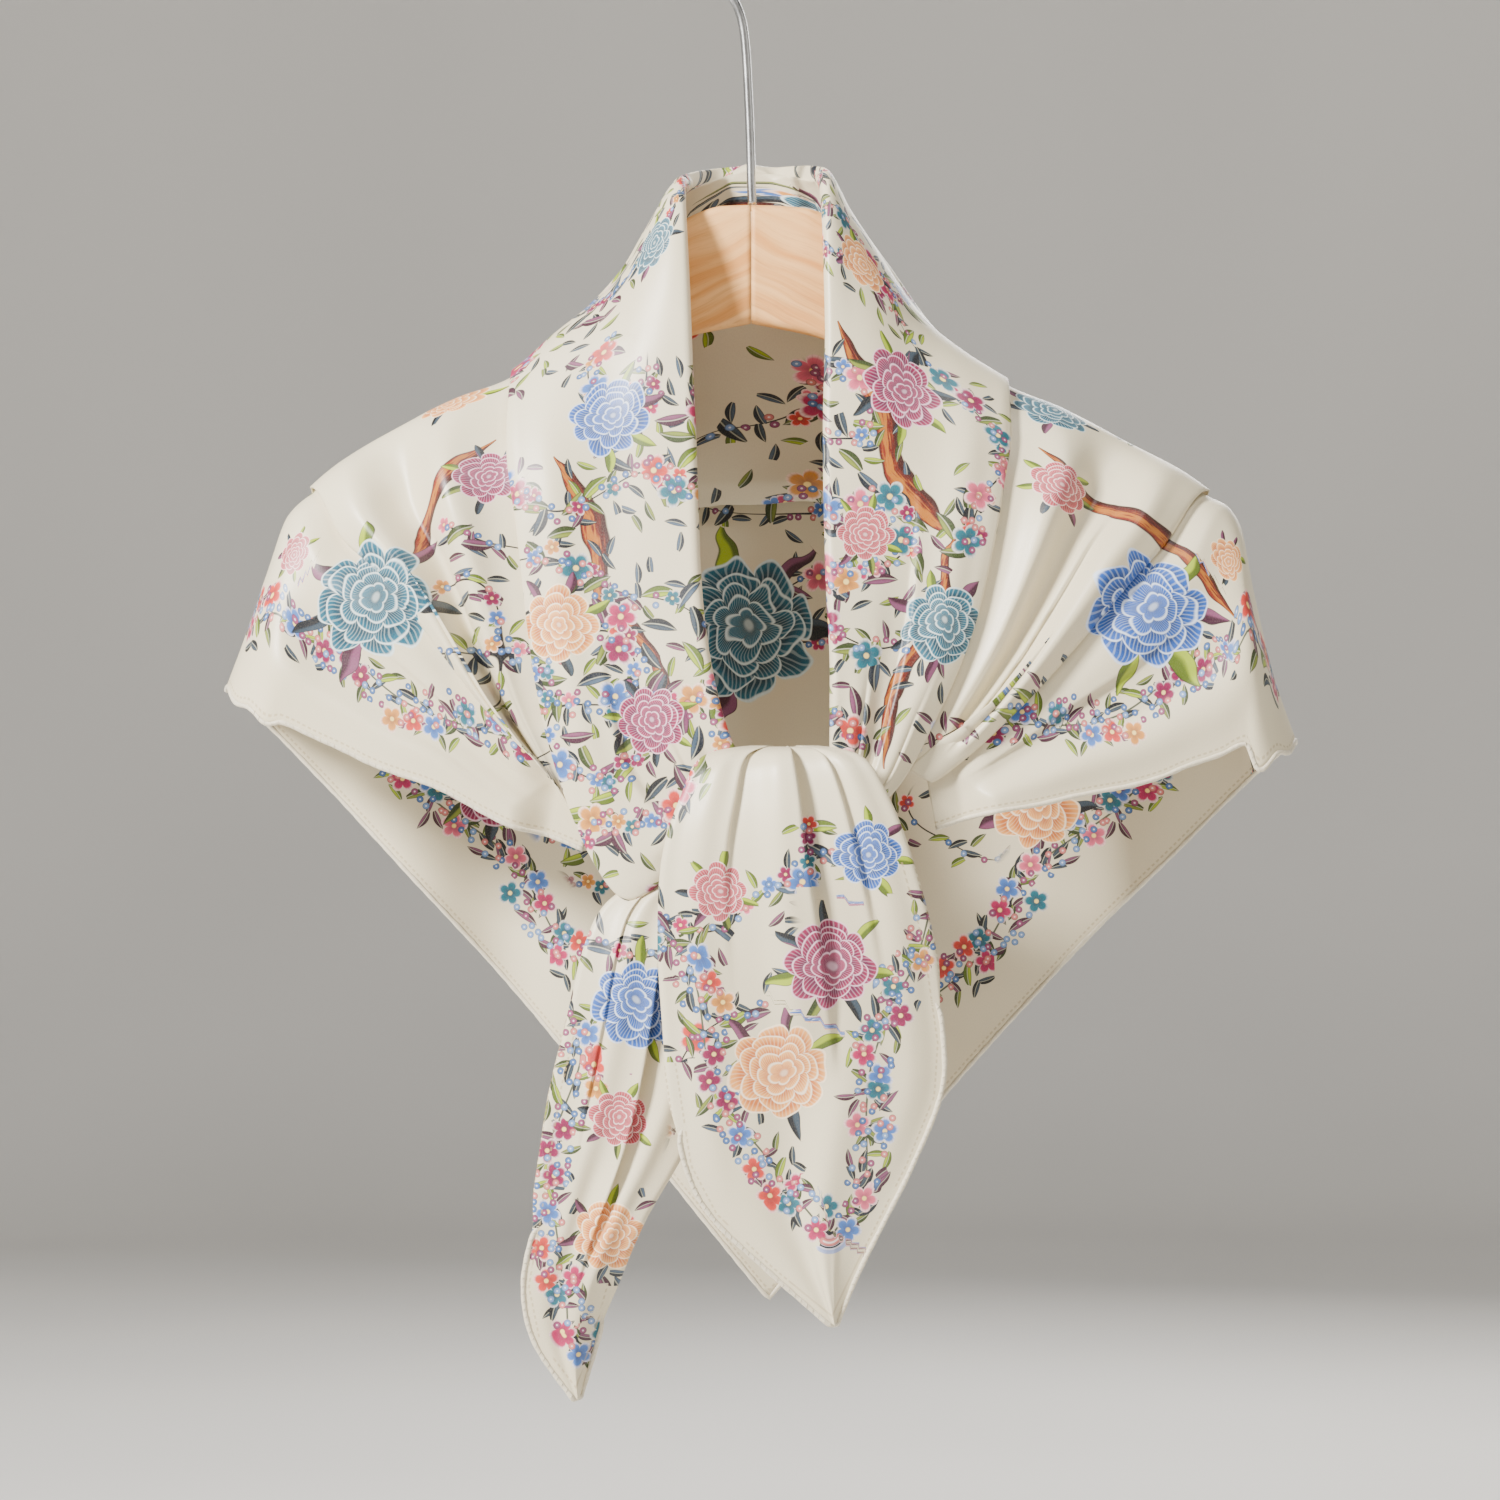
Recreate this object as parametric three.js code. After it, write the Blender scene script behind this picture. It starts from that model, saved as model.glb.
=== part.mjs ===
import * as THREE from 'three';

// Silk square scarf worn over a plain wooden hanger, tied in front with its two tails hanging.
// Millimetres. The origin is the inside top of the hook, x runs to the viewer's right, -y is the front.

// Cloth
const wall = 1.6;
const seam = 0.35;
const endGap = 2.1;
const rollRadius = 3.4;
const coverGap = 5.4;
const underlap = 14;
const settle = 30;
const lipWidth = 5;
const lipFall = 2.7;

// How the cloth rounds from the shoulder line into its hanging faces
const roundFall = 80;
const roundLength = roundFall * Math.PI / 2;
const behindShoulder = -20;
const crossing = 6 / 7;
const coverStart = 0.2;
const ridgeOpen = 0.5;
const mainSteps = 9;
const turnedSteps = 4;

// Depth of the worn shape, front and back
const armDepth = 33;
const chestDepth = 37;
const chestTop = -150;
const chestFall = 250;
const backDepth = 40;
const halfWidth = 240;
const collarBack = 36;
const collarHalf = 27;

// Shoulder outline from the front, a row for each place, with both sides' [x, z]
const outline = [
  { place: 'collar top', left: [-9, -119], right: [15, -119] },
  { place: 'collar turn', left: [-31, -126], right: [33, -123] },
  { place: 'collar side', left: [-46, -148], right: [45, -143] },
  { place: 'collar foot', left: [-58, -168], right: [63, -168] },
  { place: 'neck slope', left: [-92, -201], right: [86, -198] },
  { place: 'band edge', left: [-107, -214], right: [115, -218] },
  { place: 'shoulder', left: [-149, -235], right: [162, -243] },
  { place: 'shoulder end', left: [-196, -265], right: [208, -270] },
  { place: 'shoulder point', left: [-208, -280], right: [219, -283] },
  { place: 'upper arm', left: [-217, -305], right: [225, -312] },
  { place: 'low arm', left: [-227, -334], right: [234, -350] },
  { place: 'hem corner', left: [-236, -358], right: [245, -382] },
];

// Lines that run from the knot to the shoulder, a row for each section, as [x, z] from the front.
// The neck is the soft rolled edge, the tuck is the outer edge of the front band, the fold is the
// next edge below it, and the hem is the scarf's own edge.
const leftSections = [
  { section: 'in the knot', neck: [1, -394], tuck: [-12, -441], fold: [-40, -424], hem: [-42, -437] },
  { section: 'knot edge', neck: [-9, -384], tuck: [-48, -449], fold: [-60, -421], hem: [-64, -434] },
  { section: 'low chest', neck: [-17, -358], tuck: [-79, -413], fold: [-93, -390], hem: [-97, -421] },
  { section: 'chest', neck: [-23, -312], tuck: [-95, -356], fold: [-128, -353], hem: [-131, -405] },
  { section: 'high chest', neck: [-25, -252], tuck: [-103, -292], fold: [-160, -310], hem: [-174, -388] },
  { section: 'collar front', neck: [-28, -185], tuck: [-109, -243], fold: [-184, -285], hem: [-211, -373] },
];
const rightSections = [
  { section: 'in the knot', neck: [25, -394], tuck: [36, -410], fold: [58, -404], hem: [56, -422] },
  { section: 'knot edge', neck: [35, -385], tuck: [62, -404], fold: [72, -401], hem: [74, -420] },
  { section: 'low chest', neck: [35, -352], tuck: [81, -372], fold: [94, -388], hem: [100, -414] },
  { section: 'chest', neck: [33, -306], tuck: [101, -322], fold: [131, -352], hem: [135, -407] },
  { section: 'high chest', neck: [32, -246], tuck: [112, -268], fold: [165, -312], hem: [188, -394] },
  { section: 'collar front', neck: [33, -180], tuck: [116, -240], fold: [188, -285], hem: [222, -388] },
];

// Where those lines cross the shoulder, and where they end just behind it, as x
const leftCrossing = { neck: -31, tuck: -107, fold: -198, hem: -236 };
const rightCrossing = { neck: 33, tuck: 115, fold: 206, hem: 245 };
const leftEnd = { neck: -28, tuck: -107, fold: -198, hem: -235 };
const rightEnd = { neck: 30, tuck: 115, fold: 206, hem: 244 };

// Back panel
const backApex = [8, -637];
const collarFall = -75;
const innerCollar = 84;
const innerShoulder = 52;
const innerFront = 26;

// Soft creases of the shoulder cloth, a row for each: line across the strip, width, height and the
// part of the way from knot to shoulder on which it lies
const creases = {
  bandLeft: [
    { across: 0.2, width: 0.11, height: 2.6, from: 0.0, to: 0.75 },
    { across: 0.52, width: 0.12, height: -2.6, from: -0.1, to: 0.5 },
    { across: 0.75, width: 0.1, height: 2.4, from: -0.1, to: 0.4 },
  ],
  bandRight: [
    { across: 0.22, width: 0.12, height: 2.8, from: 0.0, to: 0.8 },
    { across: 0.55, width: 0.13, height: -2.6, from: -0.1, to: 0.55 },
    { across: 0.8, width: 0.1, height: 1.8, from: -0.1, to: 0.4 },
  ],
  upperLeft: [
    { across: 0.62, width: 0.16, height: -5.5, from: 0.2, to: 1.02 },
    { across: 0.84, width: 0.12, height: 3.5, from: 0.2, to: 0.9 },
    { across: 0.38, width: 0.1, height: 2.0, from: 0.0, to: 0.6 },
  ],
  upperRight: [
    { across: 0.55, width: 0.16, height: -4.5, from: 0.15, to: 0.95 },
    { across: 0.82, width: 0.12, height: 3.5, from: 0.2, to: 0.9 },
    { across: 0.35, width: 0.1, height: 1.8, from: 0.0, to: 0.6 },
  ],
  lowerLeft: [
    { across: 0.5, width: 0.2, height: -3.0, from: 0.1, to: 0.75 },
    { across: 0.8, width: 0.14, height: 2.2, from: 0.3, to: 0.8 },
  ],
  lowerRight: [
    { across: 0.5, width: 0.2, height: -2.6, from: 0.1, to: 0.7 },
    { across: 0.78, width: 0.14, height: 2.0, from: 0.35, to: 0.9 },
  ],
};

// Tails, a row for each level, from the hidden start in the knot down to the corner of the square
const frontTail = [
  { level: 'behind, low', z: -424, y: -49, left: 2, right: 24, pleat: 0 },
  { level: 'behind', z: -404, y: -47, left: 0, right: 26, pleat: 0.6 },
  { level: 'up to the top', z: -388, y: -55, left: 1, right: 27.2, pleat: 1 },
  { level: 'top', z: -383.5, y: -68, left: 1, right: 28.2, pleat: 1.4 },
  { level: 'over', z: -388, y: -81, left: -19, right: 46, pleat: 2.2 },
  { level: 'knot front', z: -405, y: -86, left: -28, right: 57, pleat: 3.2 },
  { level: 'knot foot', z: -431, y: -88, left: -36, right: 67, pleat: 3.6 },
  { level: 'below the knot', z: -468, y: -86, left: -38, right: 77, pleat: 3.4 },
  { level: 'wide', z: -512, y: -82, left: -35.5, right: 83.5, pleat: 2.8 },
  { level: 'right corner', z: -536, y: -80, left: -34, right: 82, pleat: 2.4 },
  { level: 'left corner', z: -566, y: -78, left: -28.5, right: 70, pleat: 1.8 },
  { level: 'hems close in', z: -588, y: -77, left: -17, right: 59, pleat: 1.2 },
  { level: 'near the tip', z: -612, y: -76, left: 8, right: 47, pleat: 0.6 },
  { level: 'tip', z: -635, y: -75, left: 34, right: 37.5, pleat: 0 },
];
const lowTail = [
  { level: 'in the knot', z: -437, y: -52.2, left: -38, right: -4, pleat: 1.6 },
  { level: 'under the band', z: -452, y: -55.2, left: -61, right: -7, pleat: 2.0 },
  { level: 'below the band', z: -472, y: -58.5, left: -71, right: -10, pleat: 2.6 },
  { level: 'upper', z: -503, y: -60, left: -78.5, right: -14, pleat: 2.8 },
  { level: 'middle', z: -534, y: -60, left: -86, right: -20, pleat: 2.4 },
  { level: 'clear of the front tail', z: -562, y: -59, left: -90.5, right: -32, pleat: 2.0 },
  { level: 'lower', z: -592, y: -58, left: -95, right: -49, pleat: 1.6 },
  { level: 'corner', z: -620, y: -57, left: -100, right: -60.5, pleat: 1.2 },
  { level: 'hems close in', z: -645, y: -56, left: -95, right: -67.5, pleat: 0.6 },
  { level: 'tip', z: -670, y: -55, left: -78, right: -75, pleat: 0 },
];
const tailTurn = 13;

// Hanger
const boardHalf = 6;
const blockTop = -140;
const blockFall = 2.2;
const armHalf = 199;
const hangerUnder = [
  { across: 0, z: -193 },
  { across: 32, z: -200 },
  { across: 66, z: -219 },
  { across: 110, z: -249 },
  { across: 160, z: -278 },
  { across: 188, z: -292 },
  { across: 199, z: -294 },
];
const boardRound = 4;
const wireRadius = 2;
const hookRadius = 22;

function mix(a, b, part) {
  return a + (b - a) * part;
}

function clamp(value) {
  return Math.min(Math.max(value, 0), 1);
}

function smooth(value) {
  const part = clamp(value);
  return part * part * (3 - 2 * part);
}

// Smooth curve through rows of numbers, at a place counted in rows
function through(rows, place) {
  const last = rows.length - 1;
  const at = Math.min(Math.max(place, 0), last);
  const row = Math.min(Math.floor(at), last - 1);
  const part = at - row;
  const before = rows[Math.max(row - 1, 0)];
  const from = rows[row];
  const to = rows[row + 1];
  const after = rows[Math.min(row + 2, last)];
  return from.map((value, axis) => {
    const rise = (to[axis] - before[axis]) / 2;
    const leave = (after[axis] - value) / 2;
    const square = part * part;
    const cube = square * part;
    return value * (2 * cube - 3 * square + 1) + rise * (cube - 2 * square + part)
      + to[axis] * (3 * square - 2 * cube) + leave * (cube - square);
  });
}

// Curve through points with rising x that never swings past them
function levelCurve(points) {
  const steps = points.slice(1).map((point, index) => point[0] - points[index][0]);
  const slopes = steps.map((step, index) => (points[index + 1][1] - points[index][1]) / step);
  const lean = points.map((point, index) => {
    if (index === 0) return slopes[0];
    if (index === points.length - 1) return slopes[index - 1];
    const before = slopes[index - 1];
    const after = slopes[index];
    if (before * after <= 0) return 0;
    const near = 2 * steps[index] + steps[index - 1];
    const far = steps[index] + 2 * steps[index - 1];
    return (near + far) / (near / before + far / after);
  });
  return (x) => {
    let index = points.findIndex((point) => point[0] > x) - 1;
    if (x >= points[points.length - 1][0]) index = points.length - 2;
    index = Math.max(index, 0);
    const step = steps[index];
    const part = (x - points[index][0]) / step;
    const square = part * part;
    const cube = square * part;
    return points[index][1] * (2 * cube - 3 * square + 1) + lean[index] * step * (cube - 2 * square + part)
      + points[index + 1][1] * (3 * square - 2 * cube) + lean[index + 1] * step * (cube - square);
  };
}

const leftOutline = outline.map((row) => row.left).reverse();
const outlineHeight = levelCurve(leftOutline.concat(outline.map((row) => row.right)));

// The worn shape: x across, and the cloth's way from the shoulder line, ahead of it above zero and
// behind it below zero
function worn(x, way) {
  const turn = Math.min(Math.abs(way) / roundLength, 1) * Math.PI / 2;
  const fall = roundFall * (1 - Math.cos(turn)) + Math.max(Math.abs(way) - roundLength, 0);
  const z = outlineHeight(x) - fall;
  const centred = Math.pow(clamp(1 - Math.abs(x) / halfWidth), 1.4);
  const chest = armDepth + chestDepth * centred * smooth((chestTop - z) / chestFall);
  const reach = way > 0 ? -chest : backDepth;
  const seat = collarBack * Math.exp(-Math.pow(Math.abs(x) / collarHalf, 4));
  return new THREE.Vector3(x, seat + (reach - seat) * Math.sin(turn), z);
}

// How far along the cloth a point of the front view lies from the shoulder line
function wayTo(x, z) {
  const fall = Math.max(outlineHeight(x) - z, 0);
  if (fall > roundFall) return roundLength + fall - roundFall;
  return roundFall * Math.acos(1 - fall / roundFall);
}

function outward(x, way) {
  const step = 0.5;
  const across = worn(x + step, way).sub(worn(x - step, way));
  const along = worn(x, way + step).sub(worn(x, way - step));
  return along.cross(across).normalize();
}

function place(spot, lift) {
  return worn(spot[0], spot[1]).addScaledVector(outward(spot[0], spot[1]), lift);
}

// One line from knot to shoulder, as [x, way] at a part of its length
function lineOf(sections, crossing, end, name) {
  const rows = sections.map((row) => [row[name][0], wayTo(row[name][0], row[name][1])]);
  rows.push([crossing[name], 0]);
  rows.push([end[name], name === 'neck' ? 0 : behindShoulder]);
  const across = levelCurve(rows.map((row, index) => [index, row[0]]));
  const way = levelCurve(rows.map((row, index) => [index, row[1]]));
  return (part) => [across(part * (rows.length - 1)), way(part * (rows.length - 1))];
}

function linesOf(sections, crossing, end) {
  const lines = {};
  ['neck', 'tuck', 'fold', 'hem'].forEach((name) => {
    lines[name] = lineOf(sections, crossing, end, name);
  });
  return lines;
}

const leftLines = linesOf(leftSections, leftCrossing, leftEnd);
const rightLines = linesOf(rightSections, rightCrossing, rightEnd);

function blend(from, to, part) {
  return [mix(from[0], to[0], part), mix(from[1], to[1], part)];
}

function spotDistance(from, to) {
  return worn(from[0], from[1]).distanceTo(worn(to[0], to[1]));
}

function creaseLift(rows, along, across) {
  return rows.reduce((sum, row) => {
    const inside = clamp((along - row.from) / 0.2) * clamp((row.to - along) / 0.2);
    const near = (across - row.across) / row.width;
    return sum + row.height * smooth(inside) * Math.exp(-near * near);
  }, 0);
}

// Closed wall of cloth whose outer face is a grid of points, rows first
function clothWall(grid) {
  const rows = grid.length;
  const columns = grid[0].length;
  const inner = grid.map((line, row) => line.map((point, column) => {
    const down = grid[Math.min(row + 1, rows - 1)][column].clone().sub(grid[Math.max(row - 1, 0)][column]);
    const over = line[Math.min(column + 1, columns - 1)].clone().sub(line[Math.max(column - 1, 0)]);
    return point.clone().addScaledVector(down.cross(over).normalize(), -wall);
  }));
  const positions = [...grid.flat(), ...inner.flat()].flatMap((point) => [point.x, point.y, point.z]);
  const count = rows * columns;
  const indices = [];
  const quad = (a, b, c, d) => indices.push(a, b, c, a, c, d);
  for (let row = 0; row < rows - 1; row += 1) {
    for (let column = 0; column < columns - 1; column += 1) {
      const a = row * columns + column;
      const b = a + columns;
      quad(a, b, b + 1, a + 1);
      quad(count + a, count + a + 1, count + b + 1, count + b);
    }
  }
  for (let row = 0; row < rows - 1; row += 1) {
    const first = row * columns;
    const last = first + columns - 1;
    quad(first, count + first, count + first + columns, first + columns);
    quad(last, last + columns, count + last + columns, count + last);
  }
  for (let column = 0; column < columns - 1; column += 1) {
    const bottom = (rows - 1) * columns + column;
    quad(column, column + 1, count + column + 1, count + column);
    quad(bottom, count + bottom, count + bottom + 1, bottom + 1);
  }
  const geometry = new THREE.BufferGeometry();
  geometry.setAttribute('position', new THREE.Float32BufferAttribute(positions, 3));
  geometry.setIndex(indices);
  geometry.computeVertexNormals();
  return geometry;
}

function gridOf(rows, columns, pointAt) {
  const grid = [];
  for (let row = 0; row <= rows; row += 1) {
    const line = [];
    for (let column = 0; column <= columns; column += 1) line.push(pointAt(row / rows, column / columns));
    grid.push(line);
  }
  return grid;
}

// Rows of a wall face outward when they run one way on the left side and the other way on the right
function facing(grid, mirrored) {
  return mirrored ? grid.map((line) => line.slice().reverse()) : grid;
}

// Places down a section: [part across, turn of the neck roll, way turned in]
function rolledSteps(main, turned) {
  const steps = [];
  for (let step = 0; step <= main; step += 1) steps.push({ across: step / main, turn: 0, inside: 0 });
  for (let step = 1; step <= 4; step += 1) steps.push({ across: 1, turn: Math.PI * step / 4, inside: 0 });
  for (let step = 1; step <= turned; step += 1) steps.push({ across: 1, turn: Math.PI, inside: step / turned });
  return steps;
}

// Point of a section that runs to the neck, rolls over and turns in under itself
function rolledPoint(low, neck, step, turnedIn, lift) {
  const length = spotDistance(low, neck);
  const edge = 1 - rollRadius / length;
  const across = step.inside > 0 ? edge - step.inside * turnedIn / length : step.across * edge;
  const spot = blend(low, neck, across);
  const base = place(spot, lift);
  if (step.turn === 0) return base;
  const near = blend(low, neck, edge - 0.02);
  const along = place(blend(low, neck, edge), 0).sub(place(near, 0)).normalize();
  const out = outward(spot[0], spot[1]);
  base.addScaledVector(out, -rollRadius * (1 - Math.cos(step.turn)));
  if (step.inside === 0) base.addScaledVector(along, rollRadius * Math.sin(step.turn));
  return base;
}

// One at the front, where folds stand open, down to zero where they close over the shoulder
function openness(part) {
  return smooth((crossing - part) / 0.16);
}

// Keeps a piece's end a seam short of the collar and back panel
function ahead(spot, part) {
  const near = smooth((part - crossing) / (1 - crossing)) * endGap;
  return [spot[0], spot[1] + near];
}

function lip(distance) {
  const part = clamp(1 - distance / lipWidth);
  return -lipFall * part * part;
}

// Front band: the turned over collar that runs from the knot up and over the shoulder
function bandLift(rows, part, across) {
  return creaseLift(rows, part, across) * (1 - across ** 6);
}

function frontBand(lines, rows, mirrored) {
  const steps = rolledSteps(mainSteps, turnedSteps);
  const grid = [];
  const count = 22;
  for (let index = 0; index <= count; index += 1) {
    const part = index / count;
    const tuck = ahead(lines.tuck(part), part);
    const neck = ahead(lines.neck(part), part);
    const length = spotDistance(tuck, neck);
    const turnedIn = mix(innerFront, innerShoulder, smooth((part - 0.6) / 0.4)) * clamp(0.35 + part * 4);
    grid.push(steps.map((step) => {
      const lift = step.turn > 0 ? 0 : bandLift(rows, part, step.across)
        + lip(step.across * length) * openness(part);
      return rolledPoint(tuck, neck, step, turnedIn, lift);
    }));
  }
  return clothWall(facing(grid, mirrored));
}

// Lift of shoulder cloth at a part of its way across: low beside the layer above it, and sunk
// under the band as it nears the knot
function coverOf(part) {
  return coverGap * mix(ridgeOpen, 1, openness(part)) * smooth((1 - part) / 0.06);
}

function stripLift(rows, part, across, length) {
  const free = smooth(across * length / settle);
  const sunk = 1 - smooth((part - 0.26) / 0.07);
  const cover = Math.max(coverOf(part) * (1 - free), coverGap * sunk);
  return creaseLift(rows, part, across) * free * openness(part) * (1 - sunk) - cover;
}

// Shoulder cloth that comes out from under the layer above it, whose lift is given by above()
function coveredStrip(upper, lower, rows, options) {
  return gridOf(20, 10, (down, over) => {
    const part = mix(coverStart, 1, down);
    const top = ahead(upper(part), part);
    const bottom = ahead(lower(part), part);
    const length = spotDistance(top, bottom);
    const shut = smooth((part - 0.82) / 0.1);
    const begin = mix(-underlap / length, 3 * seam / length, shut);
    const across = mix(begin, 1, over);
    const edge = options.lip ? lip((1 - across) * length) * openness(part) : 0;
    const sink = options.layers * coverGap * (1 - smooth((part - 0.26) / 0.07));
    if (across >= 0) {
      return place(blend(top, bottom, across), stripLift(rows, part, across, length) + edge - sink);
    }
    const under = ahead(options.under(part), part);
    const aboveLength = spotDistance(top, under);
    const inside = Math.min(-across * length / aboveLength, 0.8);
    const above = Math.min(options.above(part, inside, aboveLength), 0);
    return place(blend(top, under, inside), above - coverOf(part));
  });
}

function shoulderCloth(lines, bandRows, upperRows, lowerRows, mirrored) {
  const upper = coveredStrip(lines.tuck, lines.fold, upperRows, {
    under: lines.neck,
    above: (part, inside) => bandLift(bandRows, part, inside),
    layers: 0,
    lip: true,
  });
  const lower = coveredStrip(lines.fold, lines.hem, lowerRows, {
    under: lines.tuck,
    above: (part, inside, length) => stripLift(upperRows, part, 1 - inside, length),
    layers: 1,
    lip: false,
  });
  return {
    upper: clothWall(facing(upper, !mirrored)),
    lower: clothWall(facing(lower, !mirrored)),
  };
}

// Where the collar at the back ends and the back panel starts
const collarEdge = levelCurve([
  [leftEnd.hem, behindShoulder], [leftEnd.tuck, behindShoulder], [-58, -52], [0, collarFall],
  [62, -52], [rightEnd.tuck, behindShoulder], [rightEnd.hem, behindShoulder],
]);

function collarAtBack() {
  const steps = rolledSteps(mainSteps, turnedSteps);
  const count = 18;
  const grid = [];
  for (let index = 0; index <= count; index += 1) {
    const part = index / count;
    const neckPart = mix(part, 0.5 - 0.5 * Math.cos(Math.PI * part), 0.6);
    const lowX = mix(leftEnd.tuck, rightEnd.tuck, part);
    const neckX = mix(leftEnd.neck, rightEnd.neck, neckPart);
    const turnedIn = mix(innerShoulder, innerCollar, smooth(Math.min(part, 1 - part) / 0.3));
    const clear = endGap * (1 - smooth(Math.min(part, 1 - part) * 6));
    const low = [lowX, collarEdge(lowX) - clear];
    grid.push(steps.map((step) => rolledPoint(low, [neckX, -clear], step, turnedIn, 0)));
  }
  return clothWall(grid);
}

function backHem(x) {
  const corner = x < backApex[0] ? outline[11].left : outline[11].right;
  const part = (x - backApex[0]) / (corner[0] - backApex[0]);
  return mix(backApex[1], corner[1], part) + 9 * Math.sin(Math.PI * part);
}

function backPanel() {
  return clothWall(gridOf(36, 12, (over, down) => {
    const spread = mix(over, 0.5 - 0.5 * Math.cos(Math.PI * over), 0.4);
    const x = mix(leftEnd.hem + 1.5, rightEnd.hem - 1.5, spread);
    const top = collarEdge(x) - 2.4 * endGap;
    const bottom = -wayTo(x, backHem(x));
    const fade = smooth(down * 1.3) * smooth((halfWidth - Math.abs(x)) / 60);
    const wave = 4.5 * Math.sin(x / 19 + 0.8) + 2.5 * Math.sin(x / 11 - 0.4);
    return place([x, mix(top, bottom, down)], wave * fade);
  }));
}

// Tail: gathered in the knot, its sides turned back, down to the corner of the square
function tail(levels, pleats, rows, frontal) {
  const table = levels.map((row) => [row.z, row.y, row.left, row.right, row.pleat]);
  const columns = frontal ? 14 : 9;
  return clothWall(gridOf(rows, columns + 4, (down, over) => {
    const [z, y, left, right, pleat] = through(table, down * (table.length - 1));
    const column = over * (columns + 4) - 2;
    const inside = clamp(column / columns);
    const half = (right - left) / 2;
    const turned = Math.min(tailTurn, half * 0.6);
    const bow = 1 - Math.pow(2 * inside - 1, 2);
    const waves = pleats.reduce((sum, row) => {
      const near = (inside - row.across) / row.width;
      return sum + row.height * Math.exp(-near * near);
    }, 0);
    const point = new THREE.Vector3(mix(left, right, inside), y - pleat * (bow + waves), z);
    const outside = Math.max(-column, column - columns, 0);
    if (outside > 0) {
      const side = column < 0 ? 1 : -1;
      point.x += side * (outside > 1 ? turned : 0.2);
      point.y += Math.min(rollRadius * 1.3, half * 0.5) * (outside > 1 ? 1.1 : 0.75);
    }
    return point;
  }));
}

const frontPleats = [
  { across: 0.16, width: 0.06, height: 0.8 },
  { across: 0.34, width: 0.05, height: -0.7 },
  { across: 0.5, width: 0.06, height: 0.9 },
  { across: 0.63, width: 0.05, height: -1.3 },
  { across: 0.78, width: 0.07, height: 0.7 },
];
const lowPleats = [
  { across: 0.3, width: 0.1, height: 0.8 },
  { across: 0.6, width: 0.09, height: -0.9 },
  { across: 0.82, width: 0.08, height: 0.6 },
];

// Wooden hanger half: a board whose top keeps just under the cloth
const hangerFoot = levelCurve(hangerUnder.map((row) => [row.across, row.z]));

function hangerTop(x) {
  const reach = Math.abs(x);
  const neckRoom = mix(21, 5, smooth((reach - 44) / 60));
  const lower = mix(neckRoom, wall + seam + 0.2, smooth((reach - 118) / 24) * smooth((186 - reach) / 18));
  return Math.min(blockTop - blockFall * (x / 32) ** 2, outlineHeight(x) - lower);
}

function hangerArm(side) {
  const rings = 24;
  const around = 16;
  const positions = [];
  const indices = [];
  for (let ring = 0; ring <= rings; ring += 1) {
    const reach = mix(seam / 2, armHalf, ring / rings);
    const x = side * reach;
    const round = smooth((armHalf - reach) / 12);
    const top = hangerTop(x);
    const foot = Math.min(hangerFoot(reach), top - 12);
    const centre = (top + foot) / 2;
    const tall = (top - foot) / 2 * mix(0.55, 1, Math.sqrt(round));
    for (let step = 0; step < around; step += 1) {
      const corner = Math.floor(step / 4);
      const turn = (step % 4) / 3 * Math.PI / 2 + corner * Math.PI / 2;
      const y = (corner === 0 || corner === 3 ? 1 : -1) * (boardHalf - boardRound) + boardRound * Math.cos(turn);
      const z = (corner < 2 ? 1 : -1) * (tall - boardRound) + boardRound * Math.sin(turn);
      positions.push(x, y * mix(0.6, 1, round), centre + z);
    }
  }
  const quad = (a, b, c, d) => (side > 0 ? indices.push(a, b, c, a, c, d) : indices.push(a, c, b, a, d, c));
  for (let ring = 0; ring < rings; ring += 1) {
    for (let step = 0; step < around; step += 1) {
      const a = ring * around + step;
      const b = ring * around + (step + 1) % around;
      quad(a, b, b + around, a + around);
    }
  }
  const last = rings * around;
  for (let step = 1; step < around - 1; step += 1) {
    if (side > 0) indices.push(0, step + 1, step, last, last + step, last + step + 1);
    else indices.push(0, step, step + 1, last, last + step + 1, last + step);
  }
  const geometry = new THREE.BufferGeometry();
  geometry.setAttribute('position', new THREE.Float32BufferAttribute(positions, 3));
  geometry.setIndex(indices);
  geometry.computeVertexNormals();
  return geometry;
}

// Steel hook: a long stem that leans a little, then the round of the hook
function hookWire() {
  const stem = [
    [0.5, blockTop + wireRadius * 0.2 + seam], [-0.2, -118], [-1.2, -92], [-3, -64], [-6.5, -50], [-14, -39],
  ];
  const points = stem.map(([x, z]) => new THREE.Vector3(x, 0, z));
  for (let step = 0; step <= 12; step += 1) {
    const turn = mix(Math.PI * 1.1, -Math.PI * 0.16, step / 12);
    const x = hookRadius * Math.cos(turn);
    const z = wireRadius - hookRadius + hookRadius * Math.sin(turn);
    points.push(new THREE.Vector3(x, 0, z));
  }
  const path = new THREE.CatmullRomCurve3(points, false, 'centripetal');
  const tube = new THREE.TubeGeometry(path, 44, wireRadius, 8, false);
  return cappedTube(tube, 44, 8, path);
}

function cappedTube(tube, lengths, around, path) {
  const positions = Array.from(tube.getAttribute('position').array);
  const indices = Array.from(tube.getIndex().array);
  const ends = [path.getPoint(0), path.getPoint(1)];
  ends.forEach((point, end) => {
    const centre = positions.length / 3;
    positions.push(point.x, point.y, point.z);
    const first = end * lengths * (around + 1);
    for (let step = 0; step < around; step += 1) {
      const a = first + step;
      const b = a + 1;
      if (end === 0) indices.push(centre, a, b);
      else indices.push(centre, b, a);
    }
  });
  const geometry = new THREE.BufferGeometry();
  geometry.setAttribute('position', new THREE.Float32BufferAttribute(positions, 3));
  geometry.setIndex(indices);
  geometry.computeVertexNormals();
  return geometry;
}

const group = new THREE.Group();
group.name = 'silk_square_scarf_on_a_wooden_hanger';

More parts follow.
